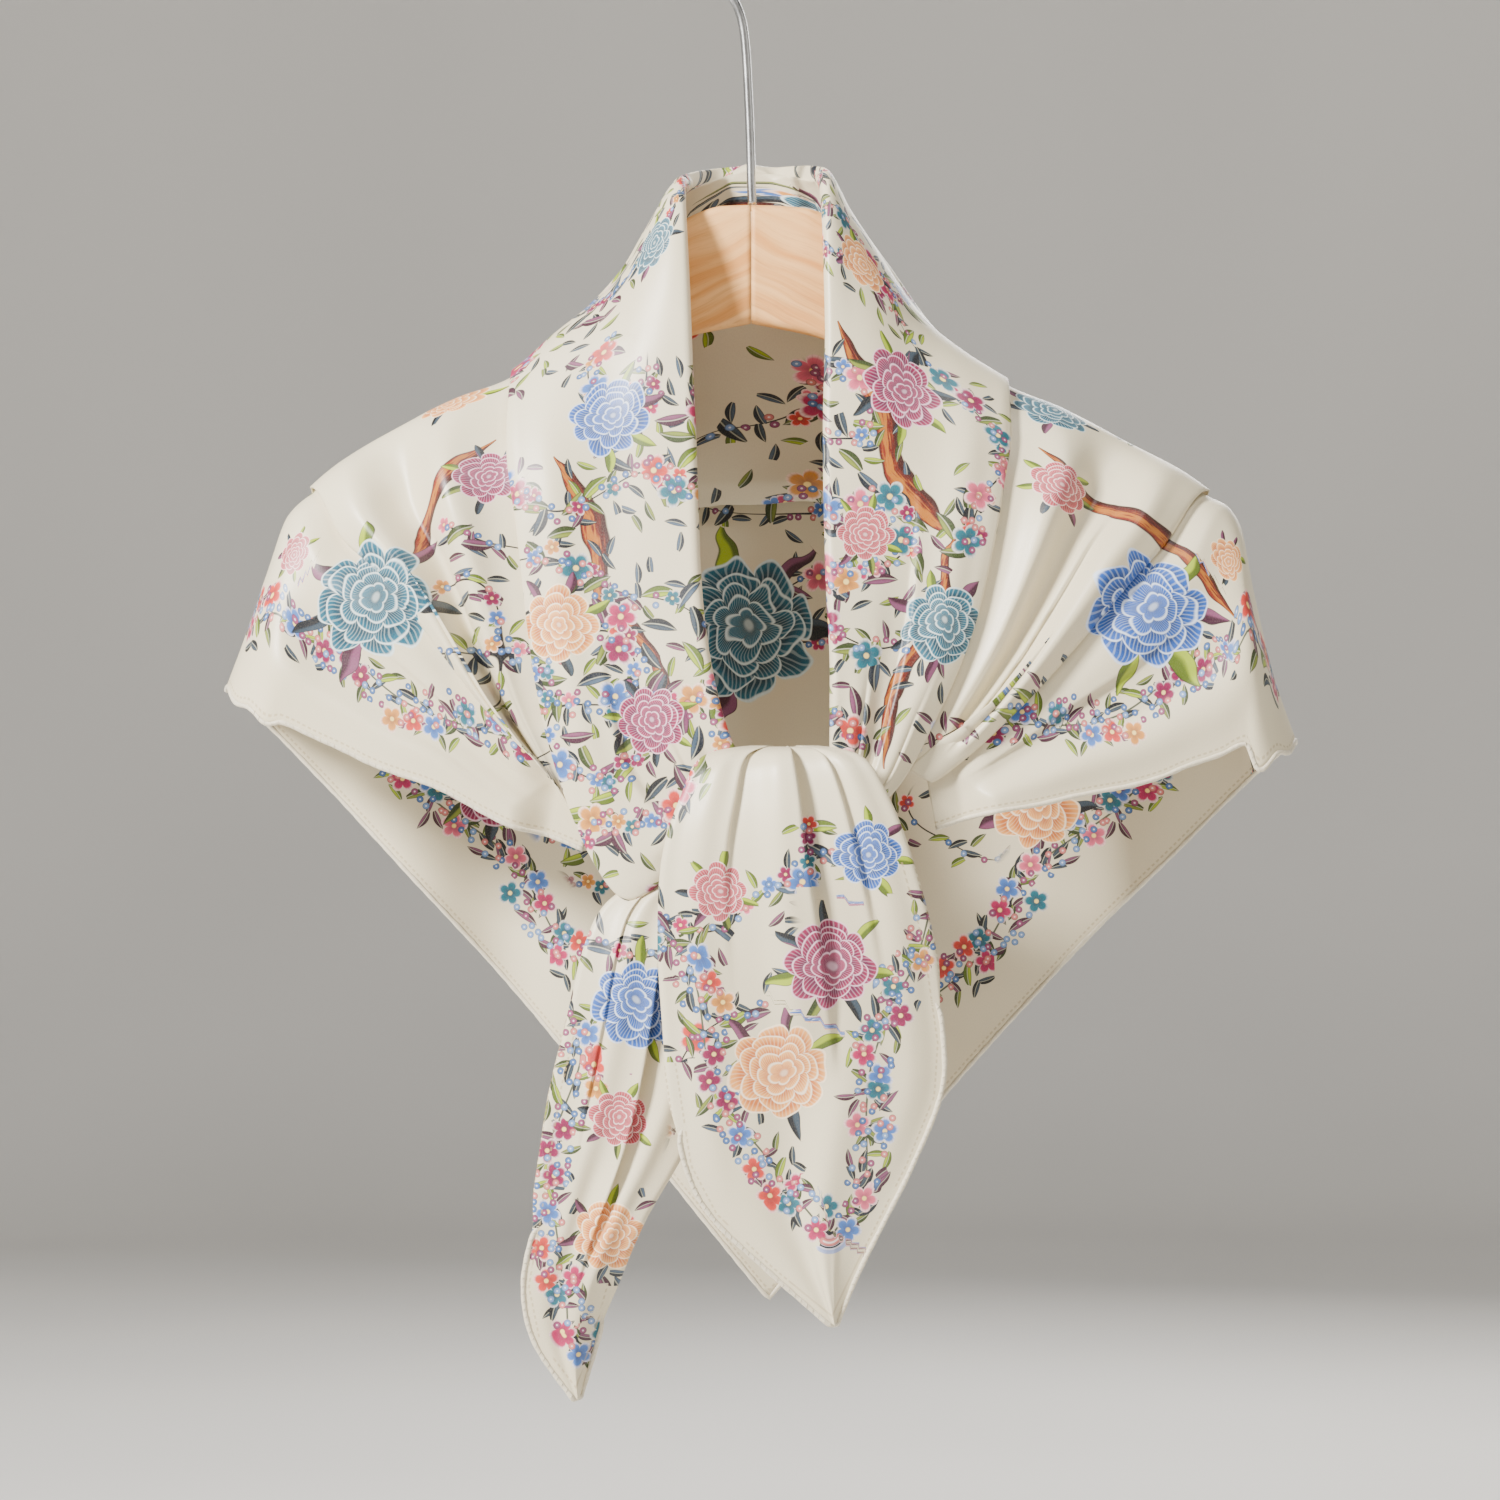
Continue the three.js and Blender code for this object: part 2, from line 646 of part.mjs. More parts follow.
function add(name, geometry, colour, roughness, metalness) {
  const material = new THREE.MeshStandardMaterial({ color: colour, roughness, metalness });
  material.name = name;
  const mesh = new THREE.Mesh(geometry, material);
  mesh.name = name;
  group.add(mesh);
}

const silk = 0xe9e3d3;
const wood = 0xe2b987;
const steel = 0xb9bbbd;

const leftShoulder = shoulderCloth(leftLines, creases.bandLeft, creases.upperLeft, creases.lowerLeft, false);
const rightShoulder = shoulderCloth(rightLines, creases.bandRight, creases.upperRight, creases.lowerRight, true);

add('front_band_left', frontBand(leftLines, creases.bandLeft, false), silk, 0.42, 0);
add('front_band_right', frontBand(rightLines, creases.bandRight, true), silk, 0.42, 0);
add('cape_upper_left', leftShoulder.upper, silk, 0.42, 0);
add('cape_upper_right', rightShoulder.upper, silk, 0.42, 0);
add('cape_lower_left', leftShoulder.lower, silk, 0.42, 0);
add('cape_lower_right', rightShoulder.lower, silk, 0.42, 0);
add('collar_back', collarAtBack(), silk, 0.42, 0);
add('back_panel', backPanel(), silk, 0.42, 0);
add('tail_front', tail(frontTail, frontPleats, 26, true), silk, 0.42, 0);
add('tail_low', tail(lowTail, lowPleats, 20, false), silk, 0.42, 0);
add('hanger_arm_left', hangerArm(-1), wood, 0.5, 0);
add('hanger_arm_right', hangerArm(1), wood, 0.5, 0);
add('hook', hookWire(), steel, 0.28, 1);

export default group;
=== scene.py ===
import math
import bpy
import numpy as np
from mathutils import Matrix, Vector


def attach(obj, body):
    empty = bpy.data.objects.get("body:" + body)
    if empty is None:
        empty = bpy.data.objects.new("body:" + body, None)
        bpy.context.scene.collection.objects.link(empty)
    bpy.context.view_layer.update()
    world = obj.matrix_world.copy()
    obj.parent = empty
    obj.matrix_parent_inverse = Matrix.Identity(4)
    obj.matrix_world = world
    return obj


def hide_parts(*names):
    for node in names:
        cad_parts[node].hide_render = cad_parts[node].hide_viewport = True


# Silk square scarf worn over a plain wooden hanger, tied in front with its two tails hanging.
# Tables are in millimetres and meshes in metres. The origin is the inside top of the hook,
# x runs to the viewer's right, -y is the front, z is up.

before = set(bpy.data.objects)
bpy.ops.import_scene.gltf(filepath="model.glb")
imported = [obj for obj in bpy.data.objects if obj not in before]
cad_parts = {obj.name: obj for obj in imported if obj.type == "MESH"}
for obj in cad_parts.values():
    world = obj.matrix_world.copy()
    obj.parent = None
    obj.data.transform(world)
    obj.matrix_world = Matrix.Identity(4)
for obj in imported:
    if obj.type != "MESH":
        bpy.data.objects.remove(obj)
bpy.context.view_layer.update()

MM = 0.001
CLOTH_THICKNESS = 0.45 * MM

# Folds
ROLL_RADIUS = 3.4
FOLD_RADIUS = 1.5
COVER_GAP = 5.4
UNDERLAP = 14
FOLD_UNDER = 13
SETTLE = 30
LIP_WIDTH = 6
LIP_FALL = 1.2
CLOSED_RADIUS = 0.02
FOLD_CLOSES = 0.16
COVER_FADE = 0.06
SUNK_UNTIL = 0.26
SUNK_FADE = 0.07
STEP_WIDTH = 0.014
CREASE_FADE = 0.2

# How the cloth rounds from the shoulder line into its hanging faces
ROUND_FALL = 80
ROUND_LENGTH = ROUND_FALL * math.pi / 2
BEHIND_SHOULDER = -20
PRINT_DEPTH = 45
SLOPE_STEP = 6
CROSSING_ROW = 6
LAST_ROW = 7
CROSSING = CROSSING_ROW / LAST_ROW
COVER_START = 0.2
RIDGE_OPEN = 0.5

# Depth of the worn shape, front and back
ARM_DEPTH = 33
CHEST_DEPTH = 37
CHEST_TOP = -150
CHEST_FALL = 250
BACK_DEPTH = 40
HALF_WIDTH = 240
COLLAR_BACK = 36
COLLAR_HALF = 27

# Shoulder outline from the front, with both sides' x and z
OUTLINE = [
    # left x, z, right x, z
    (-9, -119, 15, -119),
    (-31, -126, 33, -123),
    (-46, -148, 45, -143),
    (-58, -168, 63, -168),
    (-92, -201, 86, -198),
    (-107, -214, 115, -218),
    (-149, -235, 162, -243),
    (-196, -265, 208, -270),
    (-208, -280, 219, -283),
    (-217, -305, 225, -312),
    (-227, -334, 234, -350),
    (-236, -358, 245, -382),
]

# Lines from the knot to the shoulder as x and z, some with their place between the rows, and then their
# crossing and end behind it as x
LINES = {
    "left": {
        "neck": ([(1, -394), (-9, -384), (-17, -358), (-23, -312), (-25, -252), (-28, -185)], -31, -28),
        "tuck": ([(-12, -441), (-48, -449), (-79, -413), (-95, -356), (-103, -292), (-109, -243)],
                 -107, -107),
        "fold": ([(-40, -424), (-60, -421), (-93, -390), (-128, -353), (-160, -310), (-184, -285)],
                 -198, -198),
        "hem": ([(-42, -437), (-64, -434), (-97, -421), (-131, -405), (-174, -388), (-211, -373),
                 (-223, -366, 5.4), (-231, -362, 5.75)], -236, -235),
    },
    "right": {
        "neck": ([(25, -394), (35, -385), (35, -352), (33, -306), (32, -246), (33, -180)], 33, 30),
        "tuck": ([(36, -410), (62, -404), (81, -372), (101, -322), (112, -268), (116, -240)], 115, 115),
        "fold": ([(58, -404), (72, -401), (94, -388), (131, -352), (165, -312), (188, -285)], 206, 206),
        "hem": ([(56, -422), (74, -420), (100, -414), (135, -407), (188, -394), (222, -388),
                 (234, -386, 5.4), (241, -385, 5.75)], 245, 244),
    },
}

# Back panel and collar
BACK_APEX = (8, -637)
COLLAR_FALL = -75
INNER_COLLAR = 84
INNER_SHOULDER = 52
INNER_FRONT = 26

# Creases: line across the strip, its drift on the way to the shoulder, width, height, how far it is a
# step like a pleat, and the part of the way from knot to shoulder on which it lies
CREASES = {
    "band left": [
        (0.2, 0.02, 0.11, 2.6, 0, 0.0, 0.75), (0.52, 0.0, 0.12, -2.6, 0, -0.1, 0.5),
        (0.75, 0.0, 0.1, 2.4, 0, -0.1, 0.4), (0.36, 0.16, 0.07, 2.2, 1, -0.1, 0.5),
        (0.62, 0.1, 0.06, 1.8, 1, -0.1, 0.36), (0.86, -0.1, 0.05, -1.6, 0, -0.1, 0.35),
        (0.5, 0.1, 0.2, -2.2, 0, 0.45, 1.0),
    ],
    "band right": [
        (0.22, 0.02, 0.12, 2.8, 0, 0.0, 0.8), (0.55, 0.0, 0.13, -2.6, 0, -0.1, 0.55),
        (0.8, 0.0, 0.1, 1.8, 0, -0.1, 0.4), (0.38, 0.2, 0.07, 2.2, 1, -0.1, 0.6),
        (0.66, 0.12, 0.06, 1.6, 1, -0.1, 0.42), (0.15, 0.06, 0.05, 1.2, 1, -0.1, 0.4),
        (0.48, 0.1, 0.18, -2.4, 0, 0.5, 1.0),
    ],
    "upper left": [
        (0.6, 0.02, 0.14, -11.0, 0, 0.2, 1.04), (0.86, 0.0, 0.1, 5.0, 0, 0.2, 0.95),
        (0.32, 0.08, 0.15, 5.0, 0, 0.0, 0.85), (0.5, 0.1, 0.07, 2.2, 1, 0.1, 0.7),
        (0.24, 0.22, 0.06, 1.4, 1, 0.1, 0.6), (0.72, 0.05, 0.04, -1.4, 0, 0.1, 0.55),
    ],
    "upper right": [
        (0.52, 0.06, 0.14, -9.5, 0, 0.15, 1.0), (0.83, 0.0, 0.1, 5.0, 0, 0.2, 0.95),
        (0.28, 0.1, 0.13, 4.6, 0, 0.0, 0.8), (0.62, 0.1, 0.07, 2.4, 1, 0.1, 0.75),
        (0.26, 0.2, 0.06, 1.4, 1, 0.1, 0.6), (0.74, -0.04, 0.05, -1.6, 0, 0.15, 0.6),
    ],
    "lower left": [
        (0.48, 0.05, 0.2, -5.5, 0, 0.1, 0.85), (0.8, 0.0, 0.12, 3.0, 0, 0.3, 0.9),
        (0.3, 0.12, 0.07, 1.4, 1, 0.2, 0.65), (0.66, 0.1, 0.05, -1.2, 0, 0.3, 0.7),
    ],
    "lower right": [
        (0.48, 0.0, 0.2, -5.0, 0, 0.1, 0.85), (0.78, 0.04, 0.12, 3.0, 0, 0.3, 0.95),
        (0.32, 0.14, 0.07, 1.5, 1, 0.2, 0.7), (0.64, 0.0, 0.05, -1.2, 0, 0.4, 0.8),
    ],
}

# Tails from the hidden start in the knot to the corner of the square: z, y, left, right, pleat
FRONT_TAIL = [
    (-424, -49, 2, 24, 0), (-404, -47, 0, 26, 0.6), (-388, -55, 1, 27.2, 1), (-383.5, -68, 1, 28.2, 1.4),
    (-388, -81, -19, 46, 2.2), (-405, -86, -28, 57, 3.2), (-431, -88, -36, 67, 3.6),
    (-468, -86, -38, 77, 3.4), (-512, -82, -35.5, 83.5, 2.8), (-536, -80, -34, 82, 2.4),
    (-566, -78, -28.5, 70, 1.8), (-588, -77, -17, 59, 1.2), (-612, -76, 8, 47, 0.6), (-635, -75, 34, 37.5, 0),
]
LOW_TAIL = [
    (-437, -52.2, -38, -4, 1.6), (-452, -55.2, -61, -7, 2.0), (-472, -58.5, -71, -10, 2.6),
    (-503, -60, -78.5, -14, 2.8), (-534, -60, -86, -20, 2.4), (-562, -59, -90.5, -32, 2.0),
    (-592, -58, -95, -49, 1.6), (-620, -57, -100, -60.5, 1.2), (-645, -56, -95, -67.5, 0.6),
    (-670, -55, -78, -75, 0),
]
TAIL_TURN = 13

# Pleats of the tails: line across, its drift, width, height, how far it is a step, and from and to
# as parts of the tail's length
FRONT_PLEATS = [
    (0.12, 0.02, 0.07, 2.6, 0, 0.2, 0.85), (0.27, -0.04, 0.05, 3.0, 1, 0.16, 0.6),
    (0.44, 0.06, 0.08, 3.4, 0, 0.2, 0.75), (0.52, 0.13, 0.08, 5.8, 1, 0.14, 0.68),
    (0.77, 0.06, 0.06, 3.2, 1, 0.16, 0.62), (0.88, 0.0, 0.07, 2.2, 0, 0.2, 0.85),
    (0.38, 0.1, 0.14, -3.4, 0, 0.55, 1.1), (0.66, -0.06, 0.1, 2.8, 0, 0.6, 1.1),
    (0.56, 0.0, 0.03, -1.2, 0, 0.82, 1.1), (0.7, 0.02, 0.03, 1.1, 0, 0.84, 1.1),
]
LOW_PLEATS = [
    (0.26, 0.1, 0.1, 3.0, 0, -0.1, 0.85), (0.48, 0.18, 0.1, 4.6, 1, -0.1, 0.8),
    (0.8, -0.05, 0.08, 2.6, 0, 0.1, 0.95), (0.35, 0.05, 0.12, -3.0, 0, 0.5, 1.1),
    (0.18, 0.12, 0.06, 2.0, 1, 0.0, 0.6),
]
OVERHANG = 0.45
CURL_FROM = 0.62
CURL_RISE = 50
CORNER_RISE = 24

# Points of the cloth: rows along each stretch, and columns across its visible part
BAND_ROWS, BAND_COLUMNS = 200, 72
CAPE_ROWS, CAPE_COLUMNS = 170, 78
COLLAR_ROWS, COLLAR_COLUMNS = 150, 72
BACK_ROWS, BACK_COLUMNS = 230, 120
TAIL_ROWS, TAIL_COLUMNS = 170, 76

# Hanger
BOARD_HALF = 6
BOARD_ROUND = 4
BLOCK_TOP = -140
BLOCK_FALL = 2.2
ARM_HALF = 199
HANGER_UNDER = [(0, -193), (32, -200), (66, -219), (110, -249), (160, -278), (188, -292), (199, -294)]
WIRE_RADIUS = 2
HOOK_RADIUS = 22


def mix(a, b, part):
    return a + (b - a) * part


def clamp(value):
    return np.clip(value, 0.0, 1.0)


def smooth(value):
    part = clamp(value)
    return part * part * (3 - 2 * part)


def unit(vectors):
    return vectors / np.maximum(np.linalg.norm(vectors, axis=-1, keepdims=True), 1e-9)


def level_curve(points):
    """Curve through points with rising x that never swings past them."""
    xs = np.array([p[0] for p in points], float)
    ys = np.array([p[1] for p in points], float)
    steps = np.diff(xs)
    slopes = np.diff(ys) / steps
    lean = np.concatenate([slopes[:1], np.zeros(len(slopes) - 1), slopes[-1:]])
    for i in range(1, len(slopes)):
        before, after = slopes[i - 1], slopes[i]
        if before * after > 0:
            near, far = 2 * steps[i] + steps[i - 1], steps[i] + 2 * steps[i - 1]
            lean[i] = (near + far) / (near / before + far / after)

    def at(x):
        x = np.asarray(x, float)
        i = np.clip(np.searchsorted(xs, x, side="right") - 1, 0, len(steps) - 1)
        part = (x - xs[i]) / steps[i]
        square, cube = part ** 2, part ** 3
        return (ys[i] * (2 * cube - 3 * square + 1) + lean[i] * steps[i] * (cube - 2 * square + part)
                + ys[i + 1] * (3 * square - 2 * cube) + lean[i + 1] * steps[i] * (cube - square))

    return at


def through(rows, place):
    """Smooth curve through rows of numbers, at places counted in rows."""
    table = np.array(rows, float)
    last = len(table) - 1
    at = np.clip(place, 0, last)
    row = np.minimum(np.floor(at).astype(int), last - 1)
    part = (at - row)[..., None]
    before, start = table[np.maximum(row - 1, 0)], table[row]
    stop, after = table[row + 1], table[np.minimum(row + 2, last)]
    square, cube = part ** 2, part ** 3
    return (start * (2 * cube - 3 * square + 1) + (stop - before) / 2 * (cube - 2 * square + part)
            + stop * (3 * square - 2 * cube) + (after - start) / 2 * (cube - square))


outline_height = level_curve([(r[0], r[1]) for r in reversed(OUTLINE)] + [(r[2], r[3]) for r in OUTLINE])


def worn(x, way):
    """Point of the worn shape: way is the cloth's length ahead of the shoulder line, or behind it."""
    x, way = np.broadcast_arrays(np.asarray(x, float), np.asarray(way, float))
    turn = np.minimum(np.abs(way) / ROUND_LENGTH, 1) * math.pi / 2
    fall = ROUND_FALL * (1 - np.cos(turn)) + np.maximum(np.abs(way) - ROUND_LENGTH, 0)
    z = outline_height(x) - fall
    centred = clamp(1 - np.abs(x) / HALF_WIDTH) ** 1.4
    chest = ARM_DEPTH + CHEST_DEPTH * centred * smooth((CHEST_TOP - z) / CHEST_FALL)
    reach = np.where(way > 0, -chest, BACK_DEPTH)
    seat = COLLAR_BACK * np.exp(-(np.abs(x) / COLLAR_HALF) ** 4)
    return np.stack([x, seat + (reach - seat) * np.sin(turn), z], -1)


def way_to(x, z):
    fall = np.maximum(outline_height(x) - z, 0)
    short = ROUND_FALL * np.arccos(np.clip(1 - fall / ROUND_FALL, -1, 1))
    return np.where(fall > ROUND_FALL, ROUND_LENGTH + fall - ROUND_FALL, short)


def outward(x, way):
    step = 0.5
    across = worn(x + step, way) - worn(x - step, way)
    along = worn(x, way + step) - worn(x, way - step)
    return unit(np.cross(along, across))


def place(x, way, lift):
    return worn(x, way) + outward(x, way) * np.asarray(lift)[..., None]


def print_place(x, way):
    """Where a point lies on the flat print: as seen from the front, pushed out where the cloth turns over."""
    x, way = np.broadcast_arrays(np.asarray(x, float), np.asarray(way, float))
    slope = (outline_height(x + SLOPE_STEP) - outline_height(x - SLOPE_STEP)) / (2 * SLOPE_STEP)
    turn = np.minimum(np.abs(way) / ROUND_LENGTH, 1) * math.pi / 2
    push = PRINT_DEPTH * (1 - np.sin(turn)) / np.sqrt(1 + slope ** 2)
    return np.stack([x - slope * push, worn(x, way)[..., 2] + push], -1)


def line_of(side, name):
    spots, crossing, end = LINES[side][name]
    rows = [(spot[2] if len(spot) > 2 else i, spot[0], float(way_to(*spot[:2])))
            for i, spot in enumerate(spots)]
    rows += [(CROSSING_ROW, crossing, 0), (LAST_ROW, end, 0 if name == "neck" else BEHIND_SHOULDER)]
    across = level_curve([(row[0], row[1]) for row in rows])
    way = level_curve([(row[0], row[2]) for row in rows])
    return lambda part: (across(part * LAST_ROW), way(part * LAST_ROW))


def blend(start, stop, part):
    return mix(start[0], stop[0], part), mix(start[1], stop[1], part)


def spot_distance(start, stop):
    return np.linalg.norm(worn(*start) - worn(*stop), axis=-1)


def crease(distance, width, height, step):
    """A soft ridge or trough, or a step: a ridge on one side of the line and a trough on the other."""
    soft = height * np.exp(-(distance / width) ** 2)
    pleat = -height * np.exp(-np.abs(distance) / width) * np.tanh(distance / STEP_WIDTH)
    return mix(soft, pleat, step)


def crease_lift(name, along, across):
    total = 0
    for line, drift, width, height, step, start, stop in CREASES[name]:
        inside = clamp((along - start) / CREASE_FADE) * clamp((stop - along) / CREASE_FADE)
        total = total + smooth(inside) * crease(across - line - drift * along, width, height, step)
    return total


def openness(part):
    """How far a fold stands open: fully in front, and pressed flat from the shoulder line on."""
    return smooth((CROSSING - part) / FOLD_CLOSES)


def lip(distance):
    return -LIP_FALL * clamp(1 - distance / LIP_WIDTH) ** 2


# Rolled sections: a main stretch with a roll and a turned in layer at one or both of its edges


def section_columns(main, roll, inner, low_roll, beneath):
    """Columns as main part, roll turn, inner part, low turn and part beneath, from low to neck."""
    columns = [(0, 0, 0, 1, 1 - i / beneath) for i in range(beneath)]
    columns += [(0, 0, 0, 1 - i / low_roll, 0) for i in range(low_roll)]
    columns += [(i / main, 0, 0, 0, 0) for i in range(main + 1)]
    columns += [(1, (i + 1) / roll, 0, 0, 0) for i in range(roll)]
    columns += [(1, 1, (i + 1) / inner, 0, 0) for i in range(inner)]
    return np.array(columns, float).T[:, None, :]


def rolled_section(low, neck, lift, turned_in, fold_radius, columns):
    """Points of a section between its low line and its neck line, and where they lie on the cloth."""
    main, roll, inner, low_turn, beneath = columns
    length = spot_distance(low, neck)
    top = 1 - ROLL_RADIUS / length
    bottom = fold_radius / length
    across = mix(bottom, top, main)
    across = np.where(inner > 0, top - inner * turned_in / length, across)
    across = np.where(beneath > 0, bottom + beneath * FOLD_UNDER / length, across)
    x, way = blend(low, neck, across)
    out = outward(x, way)
    points = worn(x, way) + out * np.where(roll > 0, 0, lift)[..., None]
    neckward = unit(worn(*blend(low, neck, top)) - worn(*blend(low, neck, top - 0.02)))
    lowward = unit(worn(*blend(low, neck, bottom)) - worn(*blend(low, neck, bottom + 0.02)))
    turn = roll * math.pi
    points -= out * (ROLL_RADIUS * (1 - np.cos(turn)))[..., None]
    points += neckward * np.where(inner > 0, 0, ROLL_RADIUS * np.sin(turn))[..., None]
    turn = low_turn * math.pi
    points -= out * (fold_radius * (1 - np.cos(turn)))[..., None]
    points += lowward * np.where(beneath > 0, 0, fold_radius * np.sin(turn))[..., None]
    past_neck = roll * math.pi * ROLL_RADIUS + inner * turned_in
    past_fold = low_turn * math.pi * fold_radius + beneath * FOLD_UNDER
    x, way = blend(low, neck, mix(bottom, top, main) + (past_neck - past_fold) / length)
    return points, x, way


def front_band(side):
    neck_line, tuck_line = line_of(side, "neck"), line_of(side, "tuck")
    part = np.linspace(0, 1, BAND_ROWS)[:, None]
    low, neck = tuck_line(part), neck_line(part)
    columns = section_columns(BAND_COLUMNS, 12, 12, 6, 3)
    length = spot_distance(low, neck)
    turned_in = mix(INNER_FRONT, INNER_SHOULDER, smooth((part - 0.6) / 0.4)) * clamp(0.35 + part * 4)
    main = columns[0]
    lift = crease_lift("band " + side, part, main) * (1 - main ** 6) + lip(main * length) * openness(part)
    radius = FOLD_RADIUS * openness(part) + CLOSED_RADIUS
    points, x, way = rolled_section(low, neck, lift, turned_in, radius, columns)
    return points, x, way, None


def cover_of(part):
    """How deep a layer lies beneath the one above it."""
    return COVER_GAP * mix(RIDGE_OPEN, 1, openness(part)) * smooth((1 - part) / COVER_FADE)


def sunk_of(part):
    """One where the cloth is still inside the knot, then zero."""
    return 1 - smooth((part - SUNK_UNTIL) / SUNK_FADE)


def strip_lift(name, part, across, length):
    free = smooth(across * length / SETTLE)
    cover = np.maximum(cover_of(part) * (1 - free), COVER_GAP * sunk_of(part))
    return crease_lift(name, part, across) * free * openness(part) * (1 - sunk_of(part)) - cover


def cape(side, upper_name, lower_name, under_name, crease, above, layers, rolled):
    """Shoulder cloth that comes out from under the layer above it, whose lift is given by above."""
    part = np.linspace(COVER_START, 1, CAPE_ROWS)[:, None]
    top, bottom = line_of(side, upper_name)(part), line_of(side, lower_name)(part)
    under = line_of(side, under_name)(part)
    length = spot_distance(top, bottom)
    above_length = spot_distance(top, under)
    begin = mix(-UNDERLAP / length, 0, smooth((part - 0.82) / 0.1))
    main = np.linspace(0, 1, CAPE_COLUMNS)[None, :]
    across = mix(begin, 1, main)
    edge = lip((1 - across) * length) * openness(part) if rolled else 0
    sink = layers * COVER_GAP * sunk_of(part)
    shown = strip_lift(crease, part, across, length) + edge - sink
    inside = np.minimum(-across * length / above_length, 0.8)
    hidden = np.minimum(above(part, inside, above_length), 0) - cover_of(part)
    covered = across < 0
    x = np.where(covered, mix(top[0], under[0], inside), mix(top[0], bottom[0], across))
    way = np.where(covered, mix(top[1], under[1], inside), mix(top[1], bottom[1], across))
    points = place(x, way, np.where(covered, hidden, shown))
    if rolled:
        points, x, way = fold_under(points, x, way, part)
        return points, x, way, None
    steps = np.linalg.norm(np.diff(worn(*bottom), axis=0), axis=-1)
    along = np.concatenate([np.zeros((1, 1)), np.cumsum(steps, axis=0)])
    hem = (1 - across) * length
    return points, x, way, np.stack(np.broadcast_arrays(along, hem, hem), -1)


def fold_under(points, x, way, part):
    """Adds a rolled fold with a short layer beneath at the last column."""
    edge, before = points[:, -1:], points[:, -3:-2]
    outer = unit(edge - before)
    out = outward(x[:, -1:], way[:, -1:])
    radius = (FOLD_RADIUS * openness(part) + CLOSED_RADIUS)[..., None]
    turns = (np.arange(1, 7) / 6 * math.pi)[None, :, None]
    roll = edge + outer * radius * np.sin(turns) - out * radius * (1 - np.cos(turns))
    steps = (np.arange(1, 4) / 3 * FOLD_UNDER)[None, :, None]
    beneath = roll[:, -1:] - outer * steps
    extra = np.ones((1, 9))
    return (np.concatenate([points, roll, beneath], 1), np.concatenate([x, x[:, -1:] * extra], 1),
            np.concatenate([way, way[:, -1:] * extra], 1))


def band_above(side):
    name = "band " + side
    return lambda part, inside, length: crease_lift(name, part, inside) * (1 - inside ** 6)


def cape_above(side):
    name = "upper " + side
    return lambda part, inside, length: strip_lift(name, part, 1 - inside, length)


collar_edge = level_curve([
    (-235, BEHIND_SHOULDER), (-107, BEHIND_SHOULDER), (-58, -52), (0, COLLAR_FALL), (62, -52),
    (115, BEHIND_SHOULDER), (244, BEHIND_SHOULDER),
])


def collar_at_back():
    part = np.linspace(0, 1, COLLAR_ROWS)[:, None]
    neck_part = mix(part, 0.5 - 0.5 * np.cos(math.pi * part), 0.6)
    low_x = mix(LINES["left"]["tuck"][2], LINES["right"]["tuck"][2], part)
    neck_x = mix(LINES["left"]["neck"][2], LINES["right"]["neck"][2], neck_part)
    nearest = np.minimum(part, 1 - part)
    turned_in = mix(INNER_SHOULDER, INNER_COLLAR, smooth(nearest / 0.3))
    columns = section_columns(COLLAR_COLUMNS, 12, 16, 1, 1)[:, :, 2:]
    low, neck = (low_x, collar_edge(low_x)), (neck_x, neck_x * 0)
    points, x, way = rolled_section(low, neck, columns[0] * 0, turned_in, CLOSED_RADIUS + 0 * part, columns)
    return points, x, way, None


def back_hem(x):
    corner_x = np.where(x < BACK_APEX[0], OUTLINE[-1][0], OUTLINE[-1][2])
    corner_z = np.where(x < BACK_APEX[0], OUTLINE[-1][1], OUTLINE[-1][3])
    part = (x - BACK_APEX[0]) / (corner_x - BACK_APEX[0])
    return mix(BACK_APEX[1], corner_z, part) + 9 * np.sin(math.pi * part)


# Slope of the back's hem, and how near the arms its border of flowers ends
HEM_COSINE = 0.66
HEM_SINE = 0.75
BARE_FROM = 220
BARE_WIDTH = 60
BACK_FADE = 60


def back_panel():
    over = np.linspace(0, 1, BACK_ROWS)[:, None]
    down = np.linspace(0, 1, BACK_COLUMNS)[None, :]
    spread = mix(over, 0.5 - 0.5 * np.cos(math.pi * over), 0.4)
    x = mix(LINES["left"]["hem"][2], LINES["right"]["hem"][2], spread)
    top = collar_edge(x)
    bottom = np.minimum(-way_to(x, back_hem(x)), top - 1)
    fade = smooth(down * 1.3) * smooth((HALF_WIDTH - np.abs(x)) / BACK_FADE)
    wave = 4.5 * np.sin(x / 19 + 0.8) + 2.5 * np.sin(x / 11 - 0.4)
    way = mix(top, bottom, down)
    x = np.broadcast_to(x, way.shape)
    points = place(x, way, wave * fade)
    hem = (way - bottom) * HEM_COSINE
    along = np.abs(x - BACK_APEX[0]) * HEM_COSINE + (points[..., 2] - BACK_APEX[1]) * HEM_SINE
    at_arm = smooth((np.abs(x) - BARE_FROM) / BARE_WIDTH)
    return points, x, way, np.stack([along, hem + FAR * at_arm, hem], -1)


def tail_pleats(pleats, part, inside, held):
    """How far each point of a tail is lifted, and how far it is pushed over sideways."""
    waves, over = 0, 0
    for line, drift, width, height, step, start, stop in pleats:
        shown = smooth(clamp((part - start) / 0.12) * clamp((stop - part) / 0.2)) * held
        lifted = shown * crease(inside - line - drift * part, width, height, step)
        waves, over = waves + lifted, over + step * lifted
    return waves, over * OVERHANG


